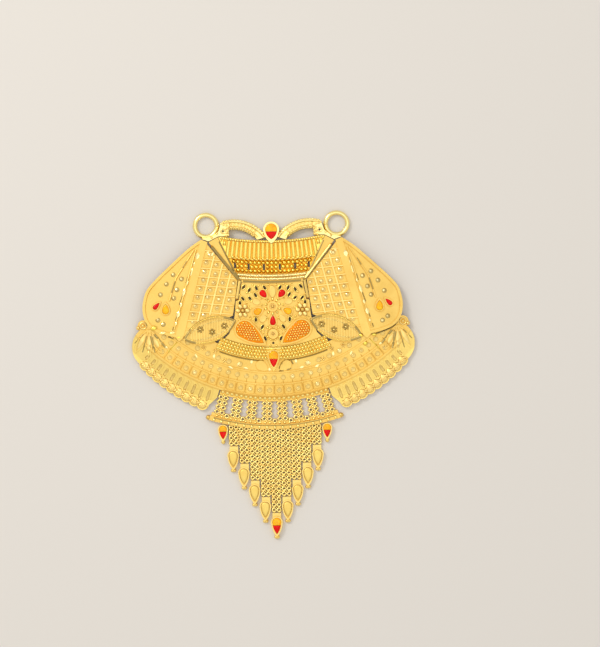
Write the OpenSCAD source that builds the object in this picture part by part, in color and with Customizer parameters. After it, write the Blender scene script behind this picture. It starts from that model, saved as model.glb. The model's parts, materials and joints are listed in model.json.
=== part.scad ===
// Gold mangalsutra pendant: two chain rings, wings, a fan skirt, a ring comb and a fringe of double-ring chains.
// It lies on its back. The drawing's origin is the centre of the skirt's arcs, and placed() moves its middle there.

/* [Sheet and wire] */
// Thickness of the gold sheet
sheet_t = 0.45; // [0.40:0.01:0.50]
// Height of the raised lines on the sheet
relief_h = 0.2; // [0.15:0.01:0.25]
// Gap between pieces that meet
seam = 0.05; // [0.04:0.01:0.08]

/* [Chain rings] */
// Sideways distance of each ring's centre from the middle line
ring_x = 12.4; // [12.2:0.1:12.6]
// Height of the ring's centre in the drawing
ring_y = -1.5; // [-1.6:0.1:-1.4]
// Inner radius of the ring
ring_in_r = 1.65; // [1.55:0.05:1.75]
// Thickness of the ring's wire
ring_wire = 0.85; // [0.80:0.05:0.90]

/* [Neck] */
// Radius of the neck's top edge, about its own centre far above
neck_r = 52; // [48:1:56]
// Height of the neck's top edge at the middle
neck_top_y = -4.45; // [-4.5:0.05:-4.4]
// Width of the fluted band
flute_len = 3.8; // [3.7:0.05:3.9]
// Number of flutes
flute_count = 21; // [19:2:21]
// Distance from flute to flute
flute_pitch = 0.82; // [0.78:0.01:0.84]
// Width of the granule row
granule_band = 2.6; // [2.5:0.05:2.7]
// Radius of one granule
granule_r = 0.37; // [0.30:0.01:0.38]
// Distance from granule to granule
granule_pitch = 0.8; // [0.78:0.01:0.82]

/* [Skirt] */
// Inner radius of the skirt's sheet
skirt_in_r = 26; // [25.8:0.1:26.2]
// Radius of the ridge under the dotted rows
skirt_ridge_r = 34; // [33.9:0.1:34.1]
// Half angle of the dotted part
skirt_half_angle = 46; // [45:0.5:46]
// Ovals on each side lobe
oval_count = 10; // [9:1:10]
// Scallops on each side lobe
scallop_count = 9; // [9:1:9]

/* [Comb and fringe] */
// Angle between the comb's ring columns
comb_step = 4.53; // [4.50:0.01:4.55]
// Pitch of the comb's rings
comb_pitch = 0.95; // [0.94:0.01:0.96]
// Outer radius of the comb's lower rail
rail_out_r = 40.25; // [40.2:0.05:40.3]
// Distance between the chain strands
strand_pitch = 1.97; // [1.96:0.01:2.00]
// Pitch of the links along a strand
link_pitch = 1.0; // [1.00:0.01:1.02]
// Links added to each strand from the side to the middle
links_step = 3; // [3:1:3]

/* [Hidden] */
$fn = 48;
far = 60;
high = 6;

// Levels, measured up from the surface that the pendant lies on
skirt_inner_z = 1.2;
skirt_ridge_z = 1.02;
skirt_edge_z = 0.72;
base_z = 1.3;
panel_z = base_z + sheet_t;
wing_apex_z = 1.6;
wing_foot_z = 2.5;
strap_z = 1.95;
leaf_z = 2.35;
ring_z = 0.45;
crest_z = 0.25;
corner_z = 1.3;
granule_base_z = 0.9;
cup_depth = 0.35;

// Radii of the neck's bands
neck_cy = neck_top_y + neck_r;
flute_end_r = neck_r + flute_len;
granule_end_r = flute_end_r + granule_band;
bow_end_r = granule_end_r + 1.75;

// Beaded arcs below the mangos
arc_rows = 4;
arc_row_pitch = 0.6;
arc_first_r = 24.95;
arc_half_angle = 23.6;
arc_wire_r = 0.25;

// The scalloped edge is an arc about a centre of its own
edge_cy = -4.9;
edge_out_r = 34.4;
scallop_r = 1.2;
scallop_first_angle = 21.2;
scallop_step = 2.52;

// Comb
comb_top_r = 33.5;
comb_band_r = 35.0;
comb_foot_r = 38.65;
comb_bottom_r = 39.45;
comb_rows = 4;
comb_first_r = 35.45;
comb_half_angle = 17.3;
comb_ring_r = 0.5;
comb_hole_r = 0.24;
comb_h = 0.5;
rail_h = 0.85;

// Chain links: a pair of flat rings, with two upright loops that pass through the row above
link_ring_r = 0.45;
link_hole_r = 0.27;
link_ring_x = 0.475;
link_h = 0.22;
link_z = 0.38;
link_bead_r = 0.19;
loop_out_r = 0.36;
loop_in_r = 0.25;
loop_t = 0.14;
link_wall = link_ring_r - link_hole_r;
row_gap = link_pitch - 2 * link_ring_r;

// Drops
drop_w = 1.1;
drop_tip = 2.8;
drop_lean = 0.15;
bud_r = 0.34;
bud_x = 0.18;
bud_sink = 0.3;
cap_w = 1.6;
cap_len = 0.8;
strands = [-4, -3, -2, -1, 0, 1, 2, 3, 4];

// Cups for enamel: x, y, turn, half width of the round end, length of the tip, bottom, top, rim
crest_cup = [0, -2.5, 0, 1.5, 2.6, crest_z + 0.25, 2.2, 0.34];
skirt_cup = [0, -26.3, 0, 1.15, 2.85, base_z - seam, 2.15, 0.25];
mango_cup = [5.4, -21.25, -54, 1.9, 5.1, base_z, panel_z + 0.5, 0.28];
petal_red_cup = [1.85, -14.45, -40, 0.8, 1.5, base_z, panel_z + 0.35, 0.18];
petal_orange_cup = [2.95, -17.95, -114, 0.85, 1.4, base_z, panel_z + 0.35, 0.18];
petal_low_cup = [0, -20.0, 180, 0.75, 1.75, base_z, panel_z + 0.35, 0.18];
wing_red_cup = [22.2, -16.8, -135, 0.6, 1.6, 1.55, 2.15, 0.16];
wing_orange_cup = [20.2, -17.45, 180, 0.85, 1.65, 1.7, 2.35, 0.17];
side_cup = [9.87, -40.15, 0, 0.95, 2.3, 0, 0.95, 0.2];
end_cup = [0, drop_y(0), 0, drop_w, drop_tip, 0, 0.95, 0.24];

top_y = ring_y + ring_in_r + ring_wire;
bottom_y = bud_y(0) - bud_r;
middle_y = (top_y + bottom_y) / 2;

// A point at radius r and angle a from straight down, about the skirt's centre
function polar(r, a) = [r * sin(a), -r * cos(a)];
// Distance from the skirt's centre to its scalloped edge at angle a
function edge_r(a) = -edge_cy * cos(a) + sqrt(pow(edge_out_r, 2) - pow(edge_cy * sin(a), 2));
function scallop_angle(i) = scallop_first_angle + i * scallop_step;
// Height of a neck circle at x
function neck_y(r, x) = neck_cy - sqrt(r * r - x * x);
function heading(p, q) = atan2(q.y - p.y, q.x - p.x);
// Links in strand k, and the places of its rail rings, cap, drop and bud
function link_count(k) = links_step * (5 - abs(k));
function rail_ring_y(k) = -sqrt(pow(rail_out_r, 2) - pow(k * strand_pitch, 2)) - 0.35;
function cap_top_y(k) = rail_ring_y(k) - (link_count(k) + 0.5) * link_pitch - row_gap / 2;
function drop_y(k) = cap_top_y(k) - cap_len - drop_w + 0.15;
function bud_y(k) = drop_y(k) - drop_tip + bud_sink - bud_r;
// A smooth curve through the points p, with n steps from each point to the next
function on_curve(a, b, c, d, t) = 0.5 * (2 * b + (c - a) * t + (2 * a - 5 * b + 4 * c - d) * t * t
    + (3 * b - a - 3 * c + d) * t * t * t);
function smooth(p, n) = concat([for (i = [0 : len(p) - 2], j = [0 : n - 1])
    on_curve(p[max(i - 1, 0)], p[i], p[i + 1], p[min(i + 2, len(p) - 1)], j / n)], [p[len(p) - 1]]);
// The points of a line, moved to its right-hand side by d
function beside(p, d) = [for (i = [0 : len(p) - 1])
    let (along = p[min(i + 1, len(p) - 1)] - p[max(i - 1, 0)])
    p[i] + d * [along.y, -along.x] / norm(along)];
function reversed(p) = [for (i = [len(p) - 1 : -1 : 0]) p[i]];
function mirrored(p) = [for (q = reversed(p)) [-q.x, q.y]];

module placed() translate([0, -middle_y, 0]) children();
module both_sides() {
    children();
    mirror([1, 0, 0]) children();
}
module side(s) {
    if (s > 0) children();
    else mirror([1, 0, 0]) children();
}
module at(p, turn) translate([p[0], p[1], 0]) rotate([0, 0, turn]) children();

// Flat shapes
module sector(r_in, r_out, a0, a1) {
    intersection() {
        difference() {
            circle(r_out);
            circle(r_in);
        }
        polygon([[0, 0], polar(far, a0), polar(far / cos((a1 - a0) / 2), (a0 + a1) / 2), polar(far, a1)]);
    }
}
module capsule(len, r) {
    for (s = [-1, 1]) translate([0, s * len / 2]) circle(r);
    square([2 * r, len], center = true);
}
module vesica(half_w, half_l) {
    r = (half_l * half_l + half_w * half_w) / (2 * half_w);
    intersection() {
        translate([r - half_w, 0]) circle(r);
        translate([half_w - r, 0]) circle(r);
    }
}
// A drop with a round top of half width w, whose tip is that far below its widest line. The sides are a little
// narrower than the round top, so that they cross it instead of touching it
module drop2d(w, tip) {
    sides_w = 0.96 * w;
    circle(w);
    intersection() {
        vesica(sides_w, tip);
        translate([-w, -tip]) square([2 * w, tip]);
    }
}
module line2d(p, q, w) translate(p) rotate(heading(p, q)) translate([0, -w / 2]) square([norm(q - p), w]);

// Solids
module prism(z0, z1) translate([0, 0, z0]) linear_extrude(z1 - z0) children();
// A flat sheet whose top rises at pitch degrees along the line from p to q, and falls away at tilt degrees beside it
module leaning(p, q, pitch, tilt, z, thick) {
    translate([p.x, p.y, z]) rotate([0, 0, heading(p, q)]) rotate([tilt, -pitch, 0])
        translate([-far, -far, -thick]) cube([2 * far, 2 * far, thick]);
}
module arc_wire(r, a0, a1, wire_r, z) {
    translate([0, 0, z]) rotate([0, 0, a0 - 90]) rotate_extrude(angle = a1 - a0)
        translate([r, 0]) circle(wire_r);
}
// A cup for enamel has a rim, a wall and a floor
module cup_recess(c) at(c, c[2]) prism(c[6] - cup_depth, high) drop2d(c[3] - c[7], c[4] - 2.2 * c[7]);
module cup_body(c) at(c, c[2]) prism(c[5], c[6]) drop2d(c[3], c[4]);
module cup(c) {
    difference() {
        cup_body(c);
        cup_recess(c);
    }
}
// The enamel in a cup, between the heights y0 and y1 of the drop, with a crown that is a little smaller
module enamel(c, y0, y1) {
    w = c[3] - c[7] - seam;
    tip = c[4] - 2.2 * c[7] - 2 * seam;
    crown = 0.1;
    at(c, c[2]) {
        prism(c[6] - cup_depth + seam, c[6]) enamel2d(w, tip, y0, y1);
        prism(c[6] - cup_depth + seam, c[6] + crown) enamel2d(w - crown, tip - 2.2 * crown, y0 + crown, y1 - crown);
    }
}
module enamel2d(w, tip, y0, y1) {
    intersection() {
        drop2d(w, tip);
        translate([-w, y0]) square([2 * w, y1 - y0]);
    }
}
module enamel_all(c) enamel(c, -high, high);
module enamel_above(c, split) enamel(c, split + seam / 2, high);
module enamel_below(c, split) enamel(c, -high, split - seam / 2);

// Crest: chain rings, arches of double wire, corner plates and the top drop's cup
arch_c = [7.2, -8.0];
arch_in_r = 5.82;
arch_out_r = 7.5;
arch_wire_r = 0.3;
arch_wire_inset = 0.24;
arch_top_z = crest_z + 0.65;
corner = [[8.0, -0.75], [9.4, -0.9], [10.0, -2.6], [11.2, -3.55], [12.4, -3.75], [13.3, -3.95], [12.7, -4.15],
          [11.9, -4.45], [10.1, -3.55], [8.0, -3.5]];
module chain_ring() {
    translate([ring_x, ring_y, ring_z]) rotate_extrude()
        translate([ring_in_r + ring_wire / 2, 0]) circle(ring_wire / 2);
}
module arch() {
    prism(crest_z, arch_top_z) intersection() {
        translate(arch_c) difference() {
            circle(arch_out_r);
            circle(arch_in_r);
        }
        polygon([[8.2, 0], [8.2, -3], [6, -5], [2.2, -4.15], [0.9, -3.7], [0.9, 0]]);
    }
    translate([arch_c.x, arch_c.y, 0]) {
        arc_wire(arch_out_r - arch_wire_inset, 165, 234, arch_wire_r, arch_top_z);
        arc_wire(arch_in_r + arch_wire_inset, 170, 227, arch_wire_r, arch_top_z);
    }
}
module crest_corner() {
    eyelet = [9.15, -2.6];
    eyelet_r = 0.22;
    difference() {
        prism(0, corner_z) polygon(corner);
        translate([ring_x, ring_y, -1]) cylinder(h = high, r = ring_in_r + 0.1);
        translate([eyelet.x, eyelet.y, -1]) cylinder(h = high, r = eyelet_r);
    }
}
module crest() {
    color("gold") {
        both_sides() {
            chain_ring();
            arch();
            crest_corner();
        }
        cup(crest_cup);
    }
}

// Neck: fluted band, granule row, bow straps and milled wires
strap_in = [[10.15, -3.75], [7.25, -9.9], [5.9, -11.85]];
strap_out = [[11.85, -4.65], [6.35, -12.0]];
neck_side = [[10.05, -3.75], [7.15, -9.9], [5.8, -11.85], [5.8, -13.2]];
module neck_ring(r0, r1) {
    intersection() {
        translate([0, neck_cy]) difference() {
            circle(r1, $fn = 360);
            circle(r0, $fn = 360);
        }
        polygon(concat(neck_side, mirrored(neck_side)));
    }
}
module neck_wire(r, half_w, wire_r) {
    a = asin(half_w / r);
    translate([0, neck_cy, panel_z]) rotate([0, 0, -a - 90]) rotate_extrude(angle = 2 * a, $fn = 360)
        translate([r, 0]) circle(wire_r, $fn = 24);
}
module neck_band() {
    flute_r = 0.38;
    lip_wire_r = 0.24;
    color("goldenrod") difference() {
        union() {
            prism(base_z, panel_z) neck_ring(neck_r + seam, flute_end_r);
            intersection() {
                prism(base_z, high) neck_ring(neck_r + seam, flute_end_r);
                for (i = [0 : flute_count - 1]) {
                    turn = (i - (flute_count - 1) / 2) * flute_pitch / (neck_r + flute_len / 2) * 180 / PI;
                    translate([0, neck_cy, panel_z]) rotate([0, 0, turn]) rotate([90, 0, 0])
                        translate([0, 0, neck_r + 0.6]) cylinder(h = flute_len - 0.75, r = flute_r);
                }
            }
            neck_wire(neck_r + 0.32, 9.5, lip_wire_r);
        }
        at(crest_cup, 0) prism(-1, high) drop2d(crest_cup[3] + seam, crest_cup[4] + 2 * seam);
    }
}
module granule_row() {
    mid_r = flute_end_r + granule_band / 2;
    gaps = [1.5, 4.4, 7.0];
    granule_z = base_z;
    color("orange") difference() {
        union() {
            prism(granule_base_z, base_z - seam) neck_ring(flute_end_r + seam, granule_end_r - seam);
            for (row = [-1, 1], i = [-9 : 9])
                if (abs(i * granule_pitch) < 8 - row * 0.9)
                    translate([i * granule_pitch, neck_y(mid_r + row * granule_pitch, i * granule_pitch), granule_z])
                        sphere(granule_r);
            for (c = [-5.7, -2.95, 0, 2.95, 5.7], i = [-1 : 1])
                translate([c + i * granule_pitch, neck_y(mid_r, c), granule_z]) sphere(granule_r);
        }
        both_sides() for (x = gaps)
            translate([x, neck_y(mid_r, x), -1]) prism(0, high) square([0.42, 1.1], center = true);
    }
}
// A bar with a roof-shaped top, from p to q
module roof_bar(p, q, w, z0, z1) {
    eaves = z1 - 0.25;
    translate([p.x, p.y, 0]) rotate([0, 0, heading(p, q)]) rotate([90, 0, 90])
        linear_extrude(norm(q - p)) polygon([[-w / 2, z0], [w / 2, z0], [w / 2, eaves], [0, z1], [-w / 2, eaves]]);
}
module bow_straps() {
    bar_w = 0.42;
    color("palegoldenrod") {
        both_sides() {
            prism(base_z, strap_z) polygon([strap_in[0], strap_out[0], strap_out[1], strap_in[2], strap_in[1]]);
            roof_bar([11.35, -5.3], [6.15, -11.95], bar_w, base_z, strap_z + relief_h);
            roof_bar([6.1, -11.9], [6.75, -15.6], bar_w, base_z, strap_z);
        }
        prism(base_z, panel_z) neck_ring(granule_end_r, bow_end_r);
        neck_wire(granule_end_r + 0.35, 6.6, 0.27);
        neck_wire(granule_end_r + 0.95, 6.2, 0.22);
        prism(base_z, strap_z - 0.1) neck_ring(bow_end_r - 0.5, bow_end_r);
    }
}

// Wings: a lattice field, a plain band and an outer lobe with a rim
apex_in = [12.1, -4.6];
apex_out = [13.35, -4.15];
band_in = [16.95, -22.6];
band_out = [18.45, -22.4];
band_foot = [17.7, -23.3];
band_lap = [0.4, 0];
lobe_edge = smooth([apex_out, [16, -6.0], [20, -9.6], [22.4, -11.9], [23.8, -13.6], [24.45, -15.6], [24.6, -17.2],
                    [24.3, -18.9], [23.6, -20.2], [22.4, -21.2], [20.6, -21.9], [18.3, -22.5]], 4);
lattice_edge = [[7.55, -18.6], [7.05, -15.6], [6.55, -11.95]];
lobe_rim_w = 0.5;
lobe_tilt = 4.6;
lattice_tilt = 2;
wing_pitch = atan((wing_foot_z - wing_apex_z) / norm(band_in - apex_in));
line_w = 0.22;
column_pitch = 1.97;
row_count = 11;

module lobe_sheet(rise, thick) leaning(band_out, apex_out, -wing_pitch, lobe_tilt, wing_foot_z + rise, thick);
module lattice_sheet(rise, thick) leaning(band_in, apex_in, -wing_pitch, -lattice_tilt, wing_foot_z + rise, thick);
module band_sheet(rise, thick) leaning(band_in, apex_in, -wing_pitch, 0, wing_foot_z + rise, thick);
module lattice2d(margin) {
    polygon(concat([apex_in + band_lap - [0, 2 * margin], band_in + band_lap + [0, 2 * margin]],
        beside(lattice_edge, margin)));
}
module lattice_lines() {
    along = band_in - apex_in;
    for (i = [1 : 3]) line2d(apex_in - [i * column_pitch, 0], band_in - [i * column_pitch, 0], line_w);
    for (j = [1 : row_count - 1]) {
        p = apex_in + along * j / row_count;
        line2d(p, p - [10, 0.8], line_w);
    }
}
module lobe_lines() {
    line2d([14.3, -6.0], [18.7, -21.3], line_w);
    line2d([14.6, -5.9], [18.2, -11.4], line_w);
    line2d([18.2, -11.4], [19.5, -15.6], line_w);
}
module wing() {
    color("khaki") difference() {
        union() {
            intersection() {
                lobe_sheet(0, sheet_t);
                prism(0, high) polygon(concat([apex_out - band_lap], beside(lobe_edge, lobe_rim_w / 2),
                    [band_out - band_lap]));
            }
            intersection() {
                lobe_sheet(relief_h, sheet_t + relief_h - 0.03);
                prism(0, high) polygon(concat(lobe_edge, reversed(beside(lobe_edge, lobe_rim_w))));
            }
            intersection() {
                lobe_sheet(relief_h, 2 * relief_h);
                prism(0, high) lobe_lines();
            }
            intersection() {
                lattice_sheet(0, sheet_t);
                prism(0, high) lattice2d(0);
            }
            intersection() {
                lattice_sheet(relief_h, 2 * relief_h);
                prism(0, high) intersection() {
                    lattice2d(0.1);
                    lattice_lines();
                }
            }
            intersection() {
                band_sheet(relief_h, sheet_t + 2 * relief_h);
                prism(0, high) polygon([apex_in, apex_out, band_out, band_foot, band_in]);
            }
            cup_body(wing_red_cup);
            cup_body(wing_orange_cup);
        }
        prism(-1, high) leaf2d(seam);
        cup_recess(wing_red_cup);
        cup_recess(wing_orange_cup);
    }
}

// Leaves
leaf_c = [11.95, -21.25];
leaf_turn = 70.6;
leaf_half_l = 5.2;
leaf_half_w = 2.35;
leaf_rim_w = 0.35;
module leaf2d(grow) translate(leaf_c) rotate(leaf_turn) vesica(leaf_half_w + grow, leaf_half_l + 2 * grow);
module leaf() {
    floor_z = leaf_z - cup_depth;
    stripe_pitch = 0.5;
    stripe_w = 0.2;
    color("gold") {
        difference() {
            prism(base_z, leaf_z) leaf2d(0);
            prism(floor_z, high) leaf2d(-leaf_rim_w);
        }
        prism(floor_z - 0.1, floor_z + 0.15) intersection() {
            leaf2d(-leaf_rim_w / 2);
            for (i = [-9 : 9]) translate([leaf_c.x + i * stripe_pitch, leaf_c.y]) square([stripe_w, 8], center = true);
        }
    }
}

// Centre panel with pierced slots, petals, hubs and mango cups
panel_side = [[5.75, -12.3], [6.4, -15.7], [6.95, -15.85], [7.2, -18.6], [7.4, -19.6], [8.3, -22], [9.9, -23.6]];
hub_c = [0, -17.0];
low_hub_c = [0, -22.2];
rosette_c = [5.65, -17.7];
// Slots on each side: x, y, turn
slots = [[5.4, -13.25, 38], [4.35, -13.85, 28], [3.0, -13.5, -22], [1.45, -13.45, -32], [3.2, -14.8, -28],
         [5.6, -15.45, -38], [4.25, -15.45, -38], [6.15, -16.3, 0], [3.2, -19.45, -3], [2.0, -20.85, 32],
         [1.5, -23.05, -25]];
slot_half_w = 0.2;
slot_half_l = 0.48;
module panel2d() {
    intersection() {
        polygon(concat(panel_side, [[0, -26]], mirrored(panel_side)));
        circle(arc_first_r - 0.35, $fn = 180);
        translate([0, neck_cy]) difference() {
            circle(2 * far);
            circle(bow_end_r + seam, $fn = 360);
        }
    }
}
module collar(c, r_out, r_in) {
    at(c, 0) {
        difference() {
            prism(base_z, panel_z + 0.35) circle(r_out);
            prism(panel_z + 0.05, high) circle(r_in);
        }
        translate([0, 0, panel_z]) sphere(0.6 * r_in);
    }
}
module rosette(c, r) {
    at(c, 0) {
        for (a = [0 : 60 : 300]) rotate([0, 0, a]) translate([r * 0.66, 0, panel_z]) sphere(r * 0.3);
        translate([0, 0, panel_z]) sphere(r * 0.33);
    }
}
module centre_panel() {
    // Plain petals: x, y, turn, half width, tip
    petals = [[0, -13.9, 0, 0.8, 1.6], [1.95, -18.9, 215, 0.7, 1.3]];
    color("gold") difference() {
        union() {
            prism(base_z, panel_z) panel2d();
            both_sides() {
                cup(mango_cup);
                cup(petal_red_cup);
                cup(petal_orange_cup);
                rosette(rosette_c, 1.35);
                for (p = petals) at(p, p[2]) prism(base_z, panel_z + 0.15) drop2d(p[3], p[4]);
            }
            cup(petal_low_cup);
            collar(hub_c, 1.0, 0.62);
            collar(low_hub_c, 0.95, 0.5);
        }
        both_sides() {
            for (s = slots) at(s, s[2]) prism(-1, high) vesica(slot_half_w, slot_half_l);
            prism(-1, high) leaf2d(seam);
        }
        translate([0, -23.9, -1]) cylinder(h = high, r = 0.22);
    }
}

// Beaded arcs with the lower drop's cup
module bead_arcs() {
    base_r0 = arc_first_r - 0.3;
    base_r1 = arc_first_r + (arc_rows - 1) * arc_row_pitch + 0.3;
    color("gold") {
        difference() {
            union() {
                prism(base_z - seam, base_z + 0.3) sector(base_r0, base_r1, -arc_half_angle, arc_half_angle, $fn = 180);
                for (i = [0 : arc_rows - 1])
                    arc_wire(arc_first_r + i * arc_row_pitch, -arc_half_angle, arc_half_angle, arc_wire_r, base_z + 0.33);
            }
            both_sides() prism(-1, high) leaf2d(seam);
            at(skirt_cup, 0) prism(-1, high) drop2d(skirt_cup[3] - 0.1, skirt_cup[4] - 0.1);
        }
        cup(skirt_cup);
    }
}

// Skirt: a sheet that falls in two slopes from its inner edge, with raised lines, ovals and a scalloped edge
skirt_top = [[skirt_in_r - 1, skirt_inner_z], [skirt_in_r, skirt_inner_z], [skirt_ridge_r, skirt_ridge_z],
             [36.6, skirt_edge_z], [far, skirt_edge_z]];
side_c = [22.6, -24.3];
side_r = 4.2;
module skirt_sheet(rise, thick) {
    half_turn = 60;
    rotate([0, 0, -90 - half_turn]) rotate_extrude(angle = 2 * half_turn, $fn = 180) polygon(concat(
        [for (p = skirt_top) [p.x, p.y + rise]],
        [for (i = [len(skirt_top) - 1 : -1 : 0]) [skirt_top[i].x, skirt_top[i].y + rise - thick]]));
}
module scallops(r) for (i = [0 : scallop_count - 1])
    translate(polar(edge_r(scallop_angle(i)) - scallop_r, scallop_angle(i))) circle(r);
module skirt_lobe2d() {
    intersection() {
        difference() {
            translate([0, edge_cy]) circle(edge_out_r - 0.9, $fn = 180);
            circle(skirt_ridge_r - 0.5, $fn = 180);
        }
        polygon([[0, 0], [10.3, -32.3], [10.9, -34.1], [12.3, -35.3], [13.6, -36.4], polar(far, 22), polar(far, 45.5)]);
    }
    scallops(scallop_r);
    translate(side_c) circle(side_r);
    translate([24.6, -20.2]) circle(1.05);
    translate([25.5, -20.6]) circle(0.42);
}
module skirt2d() {
    sector(skirt_in_r, skirt_ridge_r + 0.2, -skirt_half_angle, skirt_half_angle, $fn = 180);
    both_sides() skirt_lobe2d();
}
module skirt_lines() {
    cell_count = 13;
    cell_step = 3.2;
    for (r = [29.5, 31.75]) sector(r - 0.11, r + 0.11, -skirt_half_angle, skirt_half_angle, $fn = 180);
    sector(skirt_ridge_r - 0.25, skirt_ridge_r + 0.15, -skirt_half_angle, skirt_half_angle, $fn = 180);
    for (i = [-cell_count : cell_count])
        rotate(i * cell_step) translate([-0.1, -skirt_ridge_r]) square([0.2, skirt_ridge_r - 31.75]);
}
module oval2d(a) {
    r0 = skirt_ridge_r + 0.55;
    r1 = edge_r(a) - 1.7;
    oval_len = r1 - r0 - 0.9;
    if (oval_len > 0.2) rotate(a) translate([0, -(r0 + r1) / 2]) difference() {
        capsule(oval_len, 0.55);
        capsule(oval_len, 0.3);
    }
}
module side_leaves() {
    for (a = [-25, 2, 30]) translate([23.5, -20.6]) rotate(a) translate([0, -2.9]) difference() {
        vesica(0.75, 2.6);
        vesica(0.5, 2.1);
    }
}
module skirt() {
    relief_t = relief_h + 0.15;
    color("khaki") {
        intersection() {
            skirt_sheet(0, sheet_t);
            prism(0, high) skirt2d();
        }
        intersection() {
            skirt_sheet(relief_h, relief_t);
            prism(0, high) {
                skirt_lines();
                both_sides() {
                    for (i = [0 : oval_count - 1]) oval2d(20.4 + i * 2.45);
                    side_leaves();
                }
            }
        }
        intersection() {
            skirt_sheet(0, high);
            prism(0, high) both_sides() scallops(scallop_r - 0.4);
        }
        both_sides() at([2.45, -28.1], -55) prism(0.8, 1.4) drop2d(0.9, 1.6);
    }
}

// Comb: columns of rings between the skirt and the rails, and the rings that the strands hang from
module comb_rings(r) {
    for (k = [-3.5 : 1 : 3.5], j = [0 : comb_rows - 1], s = [-1, 1])
        rotate(k * comb_step) translate([s * comb_pitch / 2, -comb_first_r - j * comb_pitch]) circle(r, $fn = 24);
    for (k = [-3 : 3]) rotate(k * comb_step) translate([0, -38.75]) circle(r, $fn = 24);
}
module comb2d() {
    difference() {
        union() {
            sector(comb_top_r, comb_band_r, -comb_half_angle, comb_half_angle, $fn = 180);
            sector(comb_foot_r, comb_bottom_r, -comb_half_angle - 0.6, comb_half_angle + 0.6, $fn = 180);
            comb_rings(comb_ring_r);
        }
        comb_rings(comb_hole_r);
    }
}
module rail_rings() {
    for (k = strands, s = [-1, 1]) translate([k * strand_pitch + s * link_ring_x, rail_ring_y(k)]) difference() {
        circle(link_ring_r, $fn = 32);
        circle(link_hole_r, $fn = 32);
    }
}
module comb() {
    end_bead = polar(39.85, 18.4);
    end_bead_r = 0.48;
    rail_half_angle = comb_half_angle + 0.8;
    color("gold") {
        prism(0, comb_h) comb2d();
        prism(0, rail_h) sector(comb_bottom_r - 0.1, rail_out_r, -rail_half_angle, rail_half_angle, $fn = 180);
        prism(link_z - link_h / 2, link_z + link_h / 2) rail_rings();
        both_sides() translate([end_bead.x, end_bead.y, end_bead_r]) sphere(end_bead_r);
    }
}

// Chain links
module upright_loops() {
    loop_y = link_pitch / 2 + row_gap / 2 + link_wall / 2;
    for (s = [-1, 1]) translate([s * link_ring_x - loop_t / 2, loop_y, link_z]) rotate([90, 0, 90])
        linear_extrude(loop_t) difference() {
            circle(loop_out_r, $fn = 32);
            circle(loop_in_r, $fn = 32);
        }
}
module chain_link() {
    prism(link_z - link_h / 2, link_z + link_h / 2) difference() {
        union() {
            for (s = [-1, 1]) translate([s * link_ring_x, 0]) circle(link_ring_r, $fn = 32);
            square([0.3, 0.34], center = true);
        }
        for (s = [-1, 1]) translate([s * link_ring_x, 0]) circle(link_hole_r, $fn = 32);
    }
    translate([0, 0, link_z + link_h / 2]) sphere(link_bead_r, $fn = 24);
    upright_loops();
}
module strand(k) {
    color("gold") for (i = [1 : link_count(k)])
        translate([k * strand_pitch, rail_ring_y(k) - i * link_pitch, 0]) chain_link();
}

// Drops at the ends of the strands, and the two beside the fringe
module plain_drop() {
    rim_z = 0.8;
    rim_w = 0.2;
    difference() {
        prism(0, rim_z) drop2d(drop_w, drop_tip);
        prism(rim_z - 0.2, high) drop2d(drop_w - rim_w, drop_tip - 2.2 * rim_w);
    }
    // The raised face has two steps
    prism(0.1, rim_z - 0.05) drop2d(drop_w - 1.8 * rim_w, drop_tip - 4 * rim_w);
    prism(0.1, rim_z + 0.05) drop2d(drop_w - 2.6 * rim_w, drop_tip - 5.8 * rim_w);
}
module bud(y, r) for (s = [-1, 1]) translate([s * bud_x, y, r]) sphere(r, $fn = 32);
module drop(k) {
    lean = k == 0 ? 0 : drop_lean * sign(k);
    color("khaki") {
        translate([k * strand_pitch + lean, 0, 0]) {
            if (k == 0) cup(end_cup);
            else translate([0, drop_y(k), 0]) plain_drop();
            bud(bud_y(k), bud_r);
        }
        translate([k * strand_pitch, cap_top_y(k), 0]) {
            prism(0, link_z + 0.2) translate([-cap_w / 2, -cap_len - 0.3]) square([cap_w, cap_len + 0.3]);
            translate([0, (row_gap - link_pitch) / 2, 0]) upright_loops();
        }
    }
}
module side_drop() {
    color("gold") {
        cup(side_cup);
        translate([side_cup[0], side_cup[1] - side_cup[4] - 0.1, 0.38]) sphere(0.38);
    }
}

placed() crest();
placed() neck_band();
placed() granule_row();
placed() bow_straps();
placed() centre_panel();
placed() bead_arcs();
placed() skirt();
placed() comb();
for (k = strands) {
    placed() strand(k);
    placed() drop(k);
}
for (s = [-1, 1]) {
    name = s < 0 ? "left" : "right";
    placed() side(s) wing();
    placed() side(s) leaf();
    placed() side(s) side_drop();
    color("darkorange") {
        placed() side(s) enamel_all(mango_cup);
        placed() side(s) enamel_all(petal_orange_cup);
        placed() side(s) enamel_all(wing_orange_cup);
        placed() side(s) enamel_above(side_cup, -0.4);
    }
    color("red") {
        placed() side(s) enamel_all(petal_red_cup);
        placed() side(s) enamel_all(wing_red_cup);
        placed() side(s) enamel_below(side_cup, -0.4);
    }
}
color("darkorange") {
    placed() enamel_above(crest_cup, -0.35);  // crest_enamel_orange
    placed() enamel_above(skirt_cup, -0.6);  // skirt_enamel_orange
    placed() enamel_above(end_cup, -0.6);  // drop_enamel_orange
}
color("red") {
    placed() enamel_below(crest_cup, -0.35);  // crest_enamel_red
    placed() enamel_below(skirt_cup, -0.6);  // skirt_enamel_red
    placed() enamel_below(end_cup, -0.6);  // drop_enamel_red
    placed() enamel_all(petal_low_cup);  // petal_red_lower
}
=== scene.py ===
"""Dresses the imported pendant: satin, polished and cut gold, glossy enamel, and the granules, beads, twisted
wires and cut marks that lie on its sheets. Places are in the drawing's millimetres, on the CAD's solids."""
import json
import math
import random
from math import cos, pi, radians, sin, sqrt

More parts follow.
